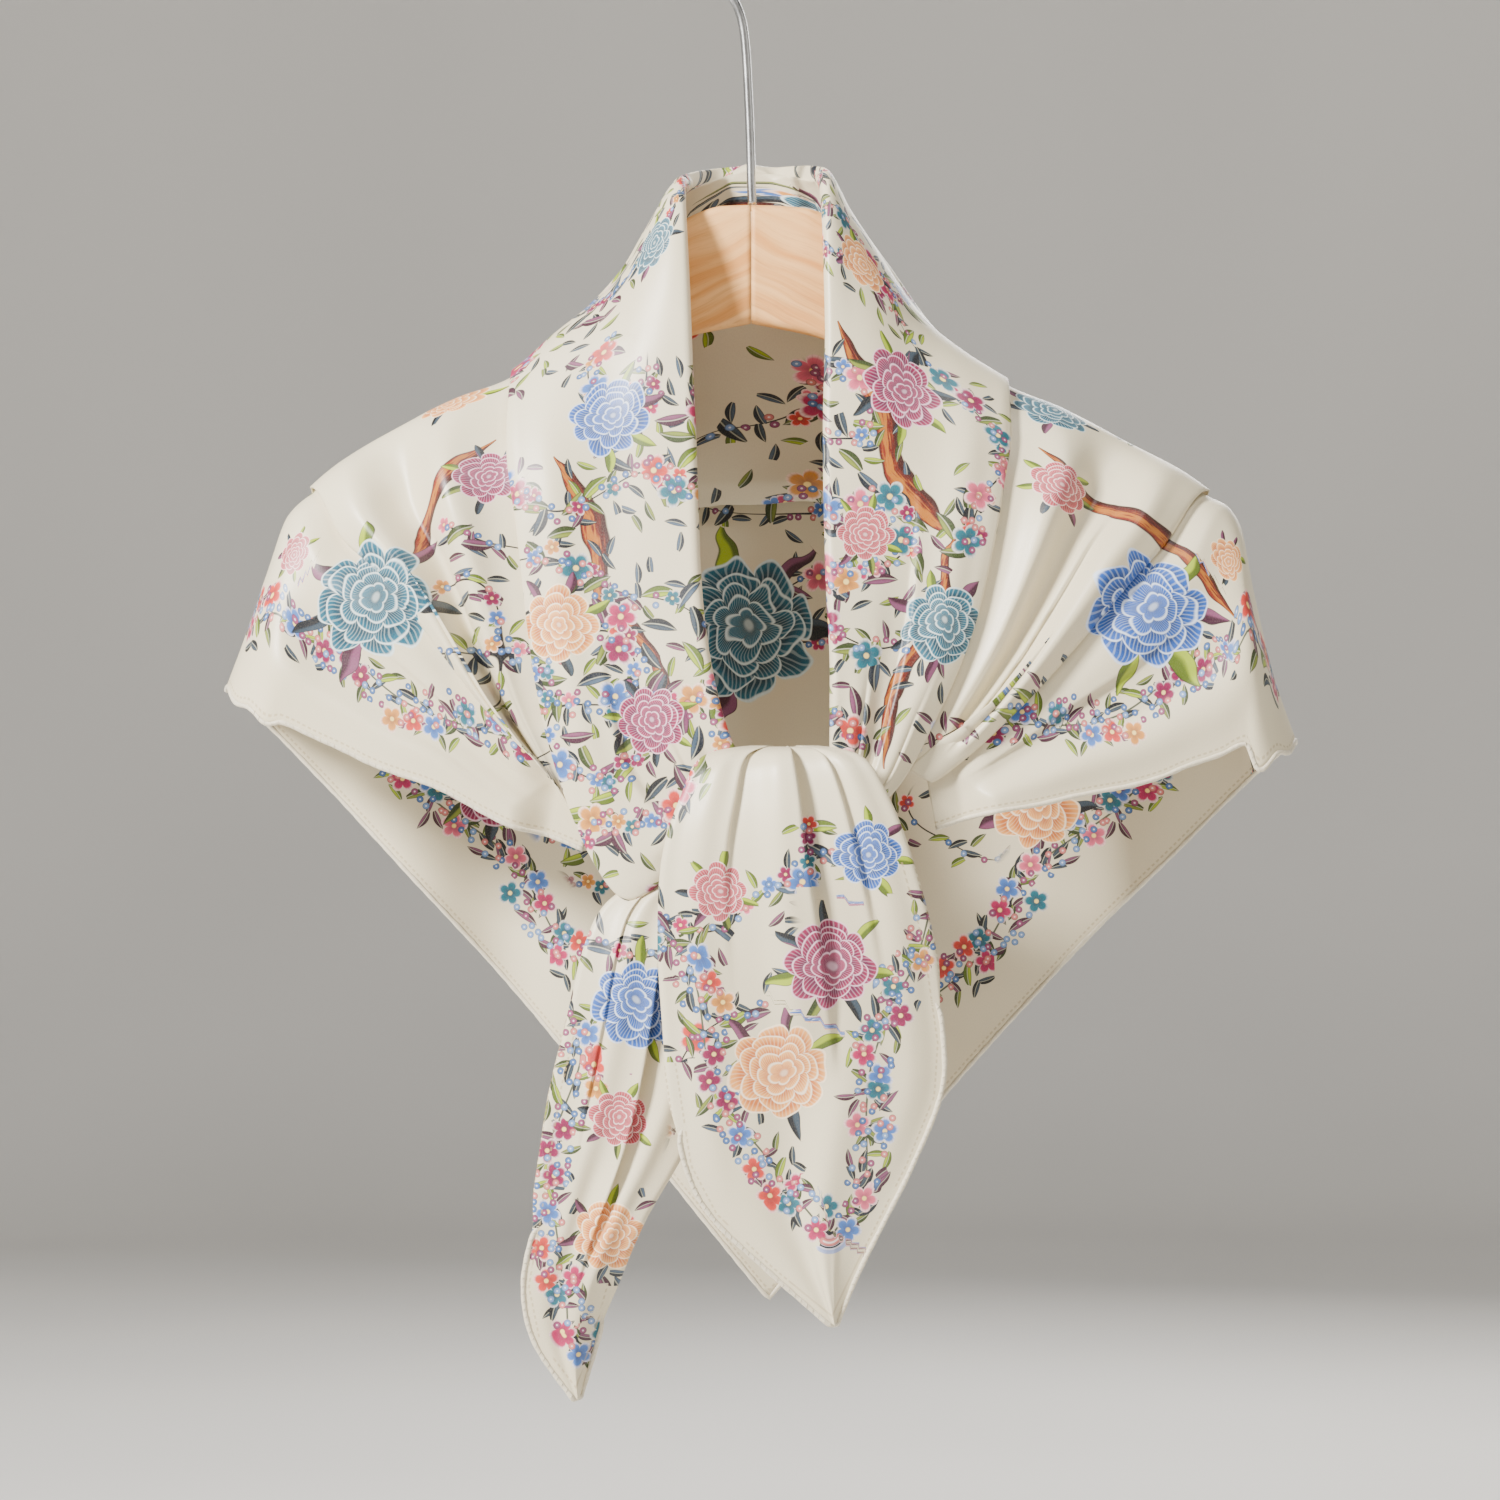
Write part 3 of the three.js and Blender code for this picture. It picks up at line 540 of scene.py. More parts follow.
def tail(levels, pleats, corners, curl):
    """Tail gathered in the knot. Its sides turn back above the corners, given as z for each side."""
    main, side, roll = TAIL_COLUMNS, 8, 5
    place_down = np.linspace(0, len(levels) - 1, TAIL_ROWS)[:, None]
    table = through(levels, place_down)
    z, y, left, right, pleat = [table[..., i] for i in range(5)]
    column = np.arange(-side, main + side + 1)[None, :]
    inside = clamp(column / main)
    half = (right - left) / 2
    bow = 1 - (2 * inside - 1) ** 2
    held = clamp(half / 25) * clamp(bow * 4)
    waves, over = tail_pleats(pleats, place_down / (len(levels) - 1), inside, held)
    x = mix(left, right, inside) + over
    curled = smooth((inside - CURL_FROM) / (1 - CURL_FROM)) * smooth((corners[1] + CURL_RISE - z) / CURL_RISE)
    y = y - pleat * bow - waves + curl * curled
    outside = np.maximum(np.maximum(-column, column - main), 0)
    above_corner = smooth((z - np.where(column < 0, corners[0], corners[1])) / CORNER_RISE)
    turned = np.minimum(TAIL_TURN, half * 0.6) * above_corner
    radius = np.minimum(ROLL_RADIUS * 0.8, half * 0.4) * above_corner + 0.01
    turn = np.minimum(outside / roll, 1) * math.pi
    shift = np.where(outside > roll, (outside - roll) / (side - roll) * turned, 0)
    bulge = np.where((outside > 0) & (outside <= roll), radius * np.sin(turn), 0)
    x = x + np.where(column < 0, 1, -1) * (shift - bulge)
    y = y + np.where(outside > 0, radius * (1 - np.cos(turn)), 0)
    return np.stack([x, y, np.broadcast_to(z, x.shape)], -1)


def polyline_distance(spots, line):
    """Distance of flat spots from a line of points, place along it, side, and which lie past its ends."""
    best = np.full(spots.shape[:-1], 1e9)
    along = np.zeros_like(best)
    sign = np.ones_like(best)
    start_length = 0.0
    for a, b in zip(line[:-1], line[1:]):
        a, b = np.array(a, float), np.array(b, float)
        length = np.linalg.norm(b - a)
        step = (b - a) / length
        offset = spots - a
        at = np.clip(offset @ step, 0, length)
        gap = np.linalg.norm(offset - at[..., None] * step, axis=-1)
        nearer = gap < best
        best = np.where(nearer, gap, best)
        along = np.where(nearer, start_length + at, along)
        sign = np.where(nearer, np.sign(offset[..., 0] * step[1] - offset[..., 1] * step[0]), sign)
        start_length += length
    beyond = (along <= 0) | (along >= start_length)
    return best, along, sign, beyond


# Print: the places of the large blooms and branches on each stretch, in millimetres of its flat print


BLOOMS = {
    # x, z, radius, kind, turn
    "shoulder left": [(-168, -318, 27, 0, 0.3), (-120, -258, 15, 3, 1.1), (-214, -290, 12, 4, 2.0),
                      (-150, -196, 17, 1, 2.2)],
    "shoulder right": [(176, -322, 28, 2, 1.0), (140, -262, 14, 4, 0.2), (222, -292, 13, 1, 2.6),
                       (150, -205, 17, 0, 0.4)],
    "band left": [(-64, -236, 19, 2, 0.6), (-84, -330, 17, 1, 1.9), (-44, -372, 15, 3, 0.9),
                  (-58, -150, 15, 0, 0.0)],
    "band right": [(70, -222, 20, 3, 2.1), (84, -330, 18, 0, 0.2), (50, -290, 13, 4, 1.2),
                   (62, -160, 14, 1, 0.8)],
    "collar": [(-24, -118, 20, 0, 0.4), (30, -100, 17, 2, 1.5), (-70, -150, 17, 4, 0.9),
               (74, -160, 18, 1, 2.4)],
    "back": [(-4, -330, 34, 0, 0.2), (-96, -300, 27, 2, 1.3), (98, -320, 28, 3, 0.8), (-20, -450, 28, 1, 2.0),
             (54, -480, 22, 4, 0.1), (-120, -400, 20, 3, 1.0), (130, -410, 20, 1, 0.6), (6, -560, 22, 2, 2.8),
             (-176, -322, 20, 1, 0.5), (184, -330, 21, 0, 0.9)],
    "tail front": [(34, -478, 20, 3, 0.5), (12, -524, 22, 1, 1.8), (50, -430, 15, 2, 0.2),
                   (-14, -446, 13, 4, 1.1)],
    "tail low": [(-50, -496, 20, 2, 0.3), (-58, -546, 13, 4, 1.4), (-62, -598, 16, 1, 0.9)],
}

BRANCHES = {
    "band right": [(36, -190), (58, -232), (62, -262), (90, -292), (78, -336), (60, -362), (58, -400)],
    "band left": [(-92, -250), (-70, -282), (-66, -318), (-40, -344), (-34, -380)],
    "shoulder left": [(-118, -230), (-140, -262), (-152, -300), (-196, -322)],
    "shoulder right": [(130, -232), (152, -262), (196, -290), (222, -330)],
    "collar": [(-60, -170), (-34, -140), (0, -128), (30, -140), (58, -128)],
    "back": [(-90, -250), (-50, -300), (-46, -360), (10, -400), (30, -450), (8, -510), (40, -540)],
}
BLOOM_MARGIN = 1.5

# How thick the leaves and small flowers stand on each stretch, from 0 to 1
LUSH = {"shoulder left": 0.3, "shoulder right": 0.35, "band left": 1.25, "band right": 1.1, "collar": 0.9,
        "back": 0.45, "tail front": 0.55, "tail low": 0.75}
FAR = 400.0
NO_BRANCH = [(FAR, 0), (FAR, 1)]
GARLAND_GAP = 34


def set_attribute(mesh, name, kind, values):
    field = "vector" if kind == "FLOAT_VECTOR" else "value"
    mesh.attributes.new(name, kind, "POINT").data.foreach_set(field, np.asarray(values, np.float32).ravel())


def paint_places(mesh, flat, region, shift, garland):
    """Stores where every point lies on the print, its nearest bloom and branch, and its hem."""
    count = flat.shape[0]
    local = np.zeros((count, 3))
    kind = np.zeros(count)
    nearest = np.full(count, BLOOM_MARGIN)
    for u, v, radius, sort, turn in BLOOMS[region]:
        spot = (flat - (u, v)) / radius
        gap = np.linalg.norm(spot, axis=-1)
        near = gap < nearest
        turned = np.stack([spot[:, 0] * math.cos(turn) - spot[:, 1] * math.sin(turn),
                           spot[:, 0] * math.sin(turn) + spot[:, 1] * math.cos(turn)], -1)
        local[near, :2] = turned[near]
        local[near, 2] = 1
        kind[near] = sort
        nearest = np.where(near, gap, nearest)
    branch = BRANCHES.get(region, NO_BRANCH)
    gap, along, sign, beyond = polyline_distance(flat, branch)
    gap = np.where(beyond, FAR, gap)
    left = np.sum(np.linalg.norm(np.diff(np.array(branch, float), axis=0), axis=-1)) - along
    set_attribute(mesh, "bloom", "FLOAT_VECTOR", local)
    set_attribute(mesh, "bloom_kind", "FLOAT", kind)
    set_attribute(mesh, "branch", "FLOAT_VECTOR", np.stack([gap * sign, along, left], -1) * MM)
    set_attribute(mesh, "flat", "FLOAT_VECTOR",
                  np.concatenate([flat + shift, np.zeros((count, 1))], -1) * MM)
    set_attribute(mesh, "lush", "FLOAT", np.full(count, LUSH[region]))
    hem = np.full((count, 3), FAR) if garland is None else garland.reshape(-1, 3)
    set_attribute(mesh, "hem", "FLOAT_VECTOR", hem * MM)


def new_object(name, points, faces, material):
    """Smooth shaded object in the scene, from points in metres."""
    mesh = bpy.data.meshes.new(name)
    mesh.from_pydata(np.asarray(points).tolist(), [], faces)
    mesh.polygons.foreach_set("use_smooth", np.ones(len(mesh.polygons), bool))
    mesh.materials.append(material)
    obj = bpy.data.objects.new(name, mesh)
    bpy.context.scene.collection.objects.link(obj)
    return obj


def grid_object(name, points, flip, material):
    rows, columns = points.shape[:2]
    index = np.arange(rows * columns).reshape(rows, columns)
    corners = [index[:-1, :-1], index[1:, :-1], index[1:, 1:], index[:-1, 1:]]
    if flip:
        corners.reverse()
    faces = np.stack(corners, -1).reshape(-1, 4)
    return new_object(name, points.reshape(-1, 3) * MM, faces.tolist(), material)


def cloth(node, grid, region, shift, flip):
    """Sheet of silk in the place of a node, from its grid of points, their flat places and its hem."""
    points, flat, garland = grid
    obj = grid_object("silk_" + node, points, flip, silk_inside if garland is None else silk_at_hem)
    paint_places(obj.data, flat.reshape(-1, 2), region, shift, garland)
    thick = obj.modifiers.new("thickness", "SOLIDIFY")
    thick.thickness = CLOTH_THICKNESS
    thick.offset = -1
    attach(obj, "root")
    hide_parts(node)
    return obj


# Materials


class Graph:
    """Builds a node material from short calls."""

    def __init__(self, name):
        self.material = bpy.data.materials.new(name)
        self.material.use_nodes = True
        self.tree = self.material.node_tree
        self.tree.nodes.clear()

    def node(self, kind, values=(), out=0, **settings):
        made = self.tree.nodes.new(kind)
        for name, value in settings.items():
            setattr(made, name, value)
        pairs = values.items() if isinstance(values, dict) else enumerate(values)
        for key, value in pairs:
            if isinstance(value, bpy.types.NodeSocket):
                self.tree.links.new(value, made.inputs[key])
            elif value is not None:
                made.inputs[key].default_value = value
        return made.outputs[out] if made.outputs else made

    def math(self, operation, a, b=0.0, c=0.0):
        return self.node("ShaderNodeMath", (a, b, c), operation=operation)

    def add(self, a, b):
        return self.math("ADD", a, b)

    def sub(self, a, b):
        return self.math("SUBTRACT", a, b)

    def mul(self, a, b):
        return self.math("MULTIPLY", a, b)

    def div(self, a, b):
        return self.math("DIVIDE", a, b)

    def power(self, a, b):
        return self.math("POWER", a, b)

    def absolute(self, a):
        return self.math("ABSOLUTE", a)

    def sine(self, a):
        return self.math("SINE", a)

    def ramp(self, value, low, high, start=0.0, stop=1.0):
        return self.node("ShaderNodeMapRange", (value, low, high, start, stop),
                         interpolation_type="SMOOTHSTEP")

    def colour(self, factor, a, b):
        return self.node("ShaderNodeMix", {0: factor, 6: a, 7: b}, out=2, data_type="RGBA")

    def split(self, vector):
        made = self.tree.nodes.new("ShaderNodeSeparateXYZ")
        self.tree.links.new(vector, made.inputs[0])
        return made.outputs

    def stored(self, name, out=1):
        return self.node("ShaderNodeAttribute", out=out, attribute_name=name, attribute_type="GEOMETRY")

    def pick(self, value, colours):
        """One of several colours, by a value from 0 to 1."""
        made = self.tree.nodes.new("ShaderNodeValToRGB")
        ramp = made.color_ramp
        ramp.interpolation = "CONSTANT"
        while len(ramp.elements) < len(colours):
            ramp.elements.new(0.5)
        for i, colour in enumerate(colours):
            ramp.elements[i].position = i / len(colours)
            ramp.elements[i].color = colour
        self.tree.links.new(value, made.inputs[0])
        return made.outputs[0]

    def noise(self, vector, scale, detail=2.0, out=0, dimensions="2D"):
        return self.node("ShaderNodeTexNoise", {"Vector": vector, "Scale": scale, "Detail": detail}, out=out,
                         noise_dimensions=dimensions)

    def vector(self, operation, a, b=None, out=0):
        return self.node("ShaderNodeVectorMath", (a, b), out=out, operation=operation)

    def shifted(self, vector, offset):
        return self.vector("ADD", vector, offset)

    def join(self, x, y, z=0.0):
        return self.node("ShaderNodeCombineXYZ", (x, y, z))

    def object_place(self):
        return self.node("ShaderNodeTexCoord", out=3)

    def surface(self, colour, rough, bump, height, depth, settings):
        """Material with a rough, finely uneven surface."""
        normal = self.node("ShaderNodeBump", {"Strength": bump, "Distance": depth, "Height": height})
        values = {"Base Color": colour, "Roughness": rough, "Normal": normal, **settings}
        return self.finish(self.node("ShaderNodeBsdfPrincipled", values))

    def finish(self, shader):
        self.node("ShaderNodeOutputMaterial", (shader,))
        return self.material


def rgb(code):
    """Linear colour from a six-digit code."""
    values = [int(code[i:i + 2], 16) / 255 for i in (0, 2, 4)]
    return tuple(v / 12.92 if v <= 0.04045 else ((v + 0.055) / 1.055) ** 2.4 for v in values) + (1.0,)


GROUND = rgb("dbd0b3")
INK = rgb("14161c")
PETALS = [rgb(c) for c in ("075c74", "eba052", "1f58b0", "8c1248", "bc4454")]
PETAL_DEEP = [rgb(c) for c in ("06384a", "c0682a", "173f80", "63123e", "962f3e")]
PETAL_EDGE = [rgb(c) for c in ("e3f0ee", "fdf0d4", "dfeafa", "f4cfdd", "fbe6df")]
LEAF_DARK = [rgb(c) for c in ("161e2a", "2e3c18", "3c182c", "4f6212", "10151d")]
LEAF_LIGHT = [rgb(c) for c in ("45586c", "7c8834", "7a4262", "9cb026", "33424f")]
SMALL_PETALS = [rgb(c) for c in ("b01c56", "d8607a", "4070b8", "d08a3c", "86104a", "0e6474", "cc3a30")]
BERRIES = [rgb(c) for c in ("44689f", "8a3f66", "6f8fbf", "c9736f")]


# Small growth follows the middle line of one noise field, the vine, in the parts that a second one picks.
# Colour and size numbers of the layers stand where they are used: lengths are in metres there.
CELL_SHIFT = 0.7
VINE_SCALE = 17.0
VINE_SHIFT = 0.37
GROWN_SCALE = 7.0
GROWN_SHIFT = (3.3, 8.1)
GROWN_LEAST = 0.58
GROWN_SHARE = 0.26
SHOWN_SHARE = 0.8

# Cells in a metre, shift, half length, half width, and reach from the vine
VINE_LEAVES = [(110.0, 0.31, 0.0056, 0.0017, 0.17), (72.0, 1.13, 0.0085, 0.0028, 0.075)]
# Cells in a metre, shift, radius, and reach from the vine
VINE_FLOWERS = [(110.0, 5.3, 0.0042, 0.03), (58.0, 0.77, 0.0078, 0.038)]
FLOWER_PETALS = 5

# Border of flowers along the hem: its distance from the hem and its waves
GARLAND_MIDDLE = 0.034
GARLAND_WAVES = 62.0
GARLAND_SWAY = 0.004

BLOOM_LEAVES = 7
# Rings of a bloom from the outside in: radius, petals, turn, and whether it lies round the shifted middle
BLOOM_RINGS = [(1.0, 8, 0.0, 0), (0.81, 7, 1.1, 0), (0.62, 7, 0.4, 1), (0.44, 6, 1.9, 1), (0.26, 5, 0.7, 1)]


def cells(g, flat, per_metre, offset, wobble=1.0):
    """Voronoi cells: local place in metres, three draws and the cell's own place."""
    moved = g.shifted(flat, (offset, offset * CELL_SHIFT, 0))
    made = g.tree.nodes.new("ShaderNodeTexVoronoi")
    made.voronoi_dimensions = "2D"
    g.tree.links.new(moved, made.inputs["Vector"])
    made.inputs["Scale"].default_value = per_metre
    made.inputs["Randomness"].default_value = wobble
    centre = made.outputs["Position"]
    return g.vector("SUBTRACT", moved, centre), g.split(made.outputs["Color"]), centre


def turned(g, local, draw):
    angle = g.mul(draw, 2 * math.pi)
    return g.node("ShaderNodeVectorRotate", {"Vector": local, "Angle": angle}, rotation_type="Z_AXIS")


def leaf_layer(g, under, flat, per_metre, offset, half_length, half_width, presence):
    """One leaf in each chosen cell, darker on one side of its midrib."""
    local, draws, centre = cells(g, flat, per_metre, offset, 0.9)
    spot = g.split(turned(g, local, draws[0]))
    reach = g.power(g.div(spot[0], half_length), 2.0)
    side = g.sub(spot[1], g.mul(reach, half_width * 0.5))
    within = g.sub(g.sub(1.0, reach), g.div(g.absolute(side), half_width))
    shown = g.mul(g.ramp(within, 0.0, 0.14), presence(centre, draws[1]))
    dark, light = g.pick(draws[2], LEAF_DARK), g.pick(draws[2], LEAF_LIGHT)
    body = g.colour(g.ramp(side, -half_width * 0.1, half_width * 0.5), dark, light)
    vein = g.ramp(g.absolute(side), half_width * 0.14, half_width * 0.04)
    body = g.colour(g.mul(vein, 0.5), body, rgb("d9d8be"))
    body = g.colour(g.mul(g.ramp(within, 0.3, 0.12), 0.75), body, INK)
    return g.colour(shown, under, body)


def flower_layer(g, under, flat, per_metre, offset, radius, presence):
    """One small flower in each chosen cell, with pale petal edges and a light heart."""
    local, draws, centre = cells(g, flat, per_metre, offset, 0.8)
    spot = g.split(turned(g, local, draws[0]))
    angle = g.math("ARCTAN2", spot[1], spot[0])
    distance = g.div(g.vector("LENGTH", local, out=1), radius)
    lobes = g.absolute(g.math("COSINE", g.mul(angle, FLOWER_PETALS / 2)))
    reach = g.div(distance, g.add(0.52, g.mul(g.power(lobes, 0.6), 0.48)))
    shown = g.mul(g.ramp(reach, 1.04, 0.94), presence(centre, draws[1]))
    base = g.pick(draws[2], SMALL_PETALS)
    deep = g.colour(0.45, base, rgb("3a1c2c"))
    body = g.colour(g.ramp(reach, 0.15, 0.75), deep, base)
    body = g.colour(g.mul(g.ramp(reach, 0.72, 0.95), 0.65), body, rgb("fbeee6"))
    streak = g.ramp(g.sine(g.mul(angle, 27.0)), 0.55, 0.95)
    body = g.colour(g.mul(streak, 0.22), body, deep)
    body = g.colour(g.ramp(distance, 0.2, 0.12), body, rgb("f0cf7a"))
    return g.colour(shown, under, body)


def berry_layer(g, under, flat, per_metre, offset, radius, presence):
    """One round berry in each chosen cell, with a dark rim and a light spot."""
    local, draws, centre = cells(g, flat, per_metre, offset, 0.7)
    distance = g.div(g.vector("LENGTH", local, out=1), radius)
    base = g.pick(draws[2], BERRIES)
    body = g.colour(g.ramp(distance, 0.6, 1.0), base, g.colour(0.6, base, INK))
    body = g.colour(g.mul(g.ramp(distance, 0.35, 0.15), 0.7), body, rgb("f4f2ee"))
    return g.colour(g.mul(g.ramp(distance, 1.05, 0.92), presence(centre, draws[1])), under, body)


def polar(g, spot, shift_x, shift_y):
    x, y = g.sub(spot[0], shift_x), g.sub(spot[1], shift_y)
    return g.math("SQRT", g.add(g.mul(x, x), g.mul(y, y))), g.math("ARCTAN2", y, x)


def bloom_leaves(g, under, distance, angle, kind, mask):
    """Leaves that stand out from under a bloom, some left out and each with its own colour."""
    turn = g.add(g.mul(angle, BLOOM_LEAVES / (2 * math.pi)), g.mul(kind, 3.0))
    number = g.math("FLOOR", turn)
    draw = g.math("FRACT", g.mul(g.sine(g.add(g.mul(number, 12.9), g.mul(kind, 78.0))), 437.5))
    across = g.mul(g.sub(g.math("FRACT", turn), 0.5), g.mul(distance, 2 * math.pi / BLOOM_LEAVES))
    reach = g.div(g.sub(distance, 1.04), 0.42)
    leaf = g.sub(g.sub(1.0, g.mul(reach, reach)), g.div(g.absolute(across), 0.14))
    green = g.colour(g.ramp(across, -0.03, 0.03), g.pick(draw, LEAF_DARK), g.pick(draw, LEAF_LIGHT))
    green = g.colour(g.mul(g.ramp(leaf, 0.22, 0.08), 0.8), green, INK)
    shown = g.mul(g.mul(g.ramp(leaf, 0.0, 0.1), g.math("GREATER_THAN", draw, 0.3)), mask)
    return g.colour(shown, under, green)


def bloom_layer(g, under):
    """Large bloom in its own round place: rings of scalloped petals with pale outlines, over leaves."""
    stored, flat = g.stored("bloom"), g.stored("flat")
    mask = g.ramp(g.split(stored)[2], 0.9, 1.0)
    kind = g.mul(g.add(g.stored("bloom_kind", out=2), 0.5), 1 / len(PETALS))
    base, deep, pale = (g.pick(kind, colours) for colours in (PETALS, PETAL_DEEP, PETAL_EDGE))
    wander = [g.mul(g.sub(g.noise(g.shifted(flat, (shift, 0, 0)), 75.0, 0.0), 0.5), 0.24)
              for shift in (0.0, 2.3)]
    spot = g.split(g.shifted(stored, g.join(*wander)))
    polars = [polar(g, spot, 0.0, 0.0), polar(g, spot, 0.02, 0.05)]
    result = bloom_leaves(g, under, *polars[0], kind, mask)
    for radius, petals, phase, middle in BLOOM_RINGS:
        distance, angle = polars[middle]
        lobes = g.absolute(g.sine(g.add(g.mul(angle, petals / 2), phase)))
        gap = g.sub(g.add(radius * 0.76, g.mul(g.power(lobes, 0.5), radius * 0.24)), distance)
        body = g.colour(g.ramp(gap, 0.22, 0.03), deep, base)
        parting = g.mul(g.ramp(lobes, 0.35, 0.05), g.ramp(gap, 0.26, 0.02))
        body = g.colour(g.mul(parting, 0.8), body, deep)
        fine = g.sine(g.add(g.mul(angle, 58.0 + petals), phase))
        body = g.colour(g.mul(g.ramp(fine, 0.2, 0.9), 0.24), body, pale)
        body = g.colour(g.mul(g.ramp(gap, 0.05, 0.018), 0.8), body, pale)
        result = g.colour(g.mul(g.ramp(gap, -0.012, 0.012), mask), result, body)
    return g.colour(g.mul(g.ramp(distance, 0.1, 0.04), mask), result, g.colour(0.5, pale, deep))


def branch_layer(g, under, tint):
    """Knotty bough that thins out to its ends, dark red at its edges with a golden ridge."""
    place_in, flat = g.split(g.stored("branch")), g.stored("flat")
    across = g.add(place_in[0], g.mul(g.sub(g.noise(flat, 45.0, 1.0), 0.5), 0.008))
    ends = g.math("MINIMUM", place_in[1], place_in[2])
    broken = g.ramp(g.noise(g.shifted(flat, (1.7, 0.2, 0)), 9.0, 0.0), 0.36, 0.5)
    width = g.mul(g.add(0.0034, g.mul(tint, 0.003)), g.mul(broken, g.ramp(ends, 0.0, 0.035)))
    reach = g.div(across, g.math("MAXIMUM", width, 0.00005))
    edge = g.absolute(reach)
    inside = g.mul(g.ramp(edge, 1.05, 0.9), g.math("GREATER_THAN", width, 0.0004))
    streak = g.sub(g.noise(g.join(g.mul(place_in[0], 9.0), place_in[1]), 110.0, 1.0), 0.5)
    shade = g.ramp(g.add(reach, g.mul(streak, 1.2)), -0.8, 0.2)
    body = g.colour(shade, rgb("360d0c"), rgb("7c2416"))
    ridge = g.ramp(g.absolute(g.add(g.sub(reach, 0.25), g.mul(streak, 1.4))), 0.5, 0.15)
    body = g.colour(g.mul(ridge, 0.85), body, rgb("b06c1c"))
    body = g.colour(g.ramp(edge, 0.68, 0.95), body, rgb("2c0a0c"))
    return g.colour(inside, under, body)


def vine_field(g, flat):
    """Zero on the vine, and larger away from it."""
    moved = g.shifted(flat, (VINE_SHIFT, -VINE_SHIFT, 0))
    return g.absolute(g.sub(g.noise(moved, VINE_SCALE, 0.0), 0.5))


def grown_field(g, flat, offset=0.0):
    shift = (GROWN_SHIFT[0] - offset, GROWN_SHIFT[1] - offset * CELL_SHIFT, 0)
    return g.noise(g.shifted(flat, shift), GROWN_SCALE, 0.0)


def near_vine(g, thick, clear_hem, offset, reach):
    """Picks the cells along the vine, where the print is grown, clear of the hem."""
    def presence(centre, draw):
        line = vine_field(g, g.shifted(centre, (-offset, -offset * CELL_SHIFT, 0)))
        near = g.math("LESS_THAN", line, g.mul(g.add(thick, 0.25), reach))
        least = g.sub(GROWN_LEAST, g.mul(thick, GROWN_SHARE))
        grown = g.math("GREATER_THAN", grown_field(g, centre, offset), least)
        return g.mul(g.mul(near, grown), g.mul(clear_hem, g.math("LESS_THAN", draw, SHOWN_SHARE)))
    return presence


def in_garland(g, offset, reach, share):
    """Picks the cells near the waving middle line of the border."""
    def presence(centre, draw):
        spot = g.split(centre)
        wave = g.mul(g.sine(g.mul(spot[0], GARLAND_WAVES)), GARLAND_SWAY)
        line = g.add(GARLAND_MIDDLE + offset * CELL_SHIFT, wave)
        near = g.math("LESS_THAN", g.absolute(g.sub(spot[1], line)), reach)
        return g.mul(near, g.math("LESS_THAN", draw, share))
    return presence


def garland_layers(g, colour, hem_in):
    """Border of small flowers, leaves and berries on a stem along the hem."""
    wave = g.mul(g.sine(g.mul(hem_in[0], GARLAND_WAVES)), GARLAND_SWAY)
    stem = g.absolute(g.sub(hem_in[1], g.add(GARLAND_MIDDLE, wave)))
    colour = g.colour(g.ramp(stem, 0.0006, 0.0003), colour, rgb("4b5140"))
    hem = g.join(hem_in[0], hem_in[1])
    colour = leaf_layer(g, colour, hem, 120.0, 0.2, 0.0055, 0.0016, in_garland(g, 0.2, 0.0105, 0.95))
    colour = leaf_layer(g, colour, hem, 95.0, 0.6, 0.0068, 0.002, in_garland(g, 0.6, 0.009, 0.85))
    colour = flower_layer(g, colour, hem, 75.0, 1.0, 0.0062, in_garland(g, 1.0, 0.0085, 0.85))
    return berry_layer(g, colour, hem, 240.0, 1.5, 0.0016, in_garland(g, 1.5, 0.0085, 0.55))


def silk_colour(g, hemmed):
    """The print: a shaded ground with stems, branches, small growth, a border at a hem, and large blooms."""
    flat = g.stored("flat")
    hem_in = g.split(g.stored("hem"))
    clear_hem = g.ramp(hem_in[2], 0.05, 0.056)
    thick = g.stored("lush", out=2)
    tint = g.ramp(g.noise(flat, 11.0, 0.0), 0.35, 0.7)
    colour = g.colour(g.mul(tint, 0.35), GROUND, rgb("cfc2a2"))
    least = g.sub(GROWN_LEAST, g.mul(thick, GROWN_SHARE))
    grown = g.mul(g.ramp(g.sub(grown_field(g, flat), least), -0.01, 0.02), clear_hem)
    colour = g.colour(g.mul(g.ramp(vine_field(g, flat), 0.006, 0.003), grown), colour, INK)
    colour = branch_layer(g, colour, tint)
    for per_metre, offset, half_length, half_width, reach in VINE_LEAVES:
        presence = near_vine(g, thick, clear_hem, offset, reach)
        colour = leaf_layer(g, colour, flat, per_metre, offset, half_length, half_width, presence)
    for per_metre, offset, radius, reach in VINE_FLOWERS:
        presence = near_vine(g, thick, clear_hem, offset, reach)
        colour = flower_layer(g, colour, flat, per_metre, offset, radius, presence)
    colour = berry_layer(g, colour, flat, 210.0, 4.4, 0.0016, near_vine(g, thick, clear_hem, 4.4, 0.035))
    if not hemmed:
        return bloom_layer(g, colour)
    colour = bloom_layer(g, garland_layers(g, colour, hem_in))
    seam = g.mul(g.ramp(hem_in[2], 0.0019, 0.0023), g.ramp(hem_in[2], 0.0031, 0.0027))
    dash = g.ramp(g.sine(g.mul(hem_in[0], 2300.0)), -0.5, 0.0)
    return g.colour(g.mul(g.mul(seam, dash), 0.55), colour, rgb("a8946c"))


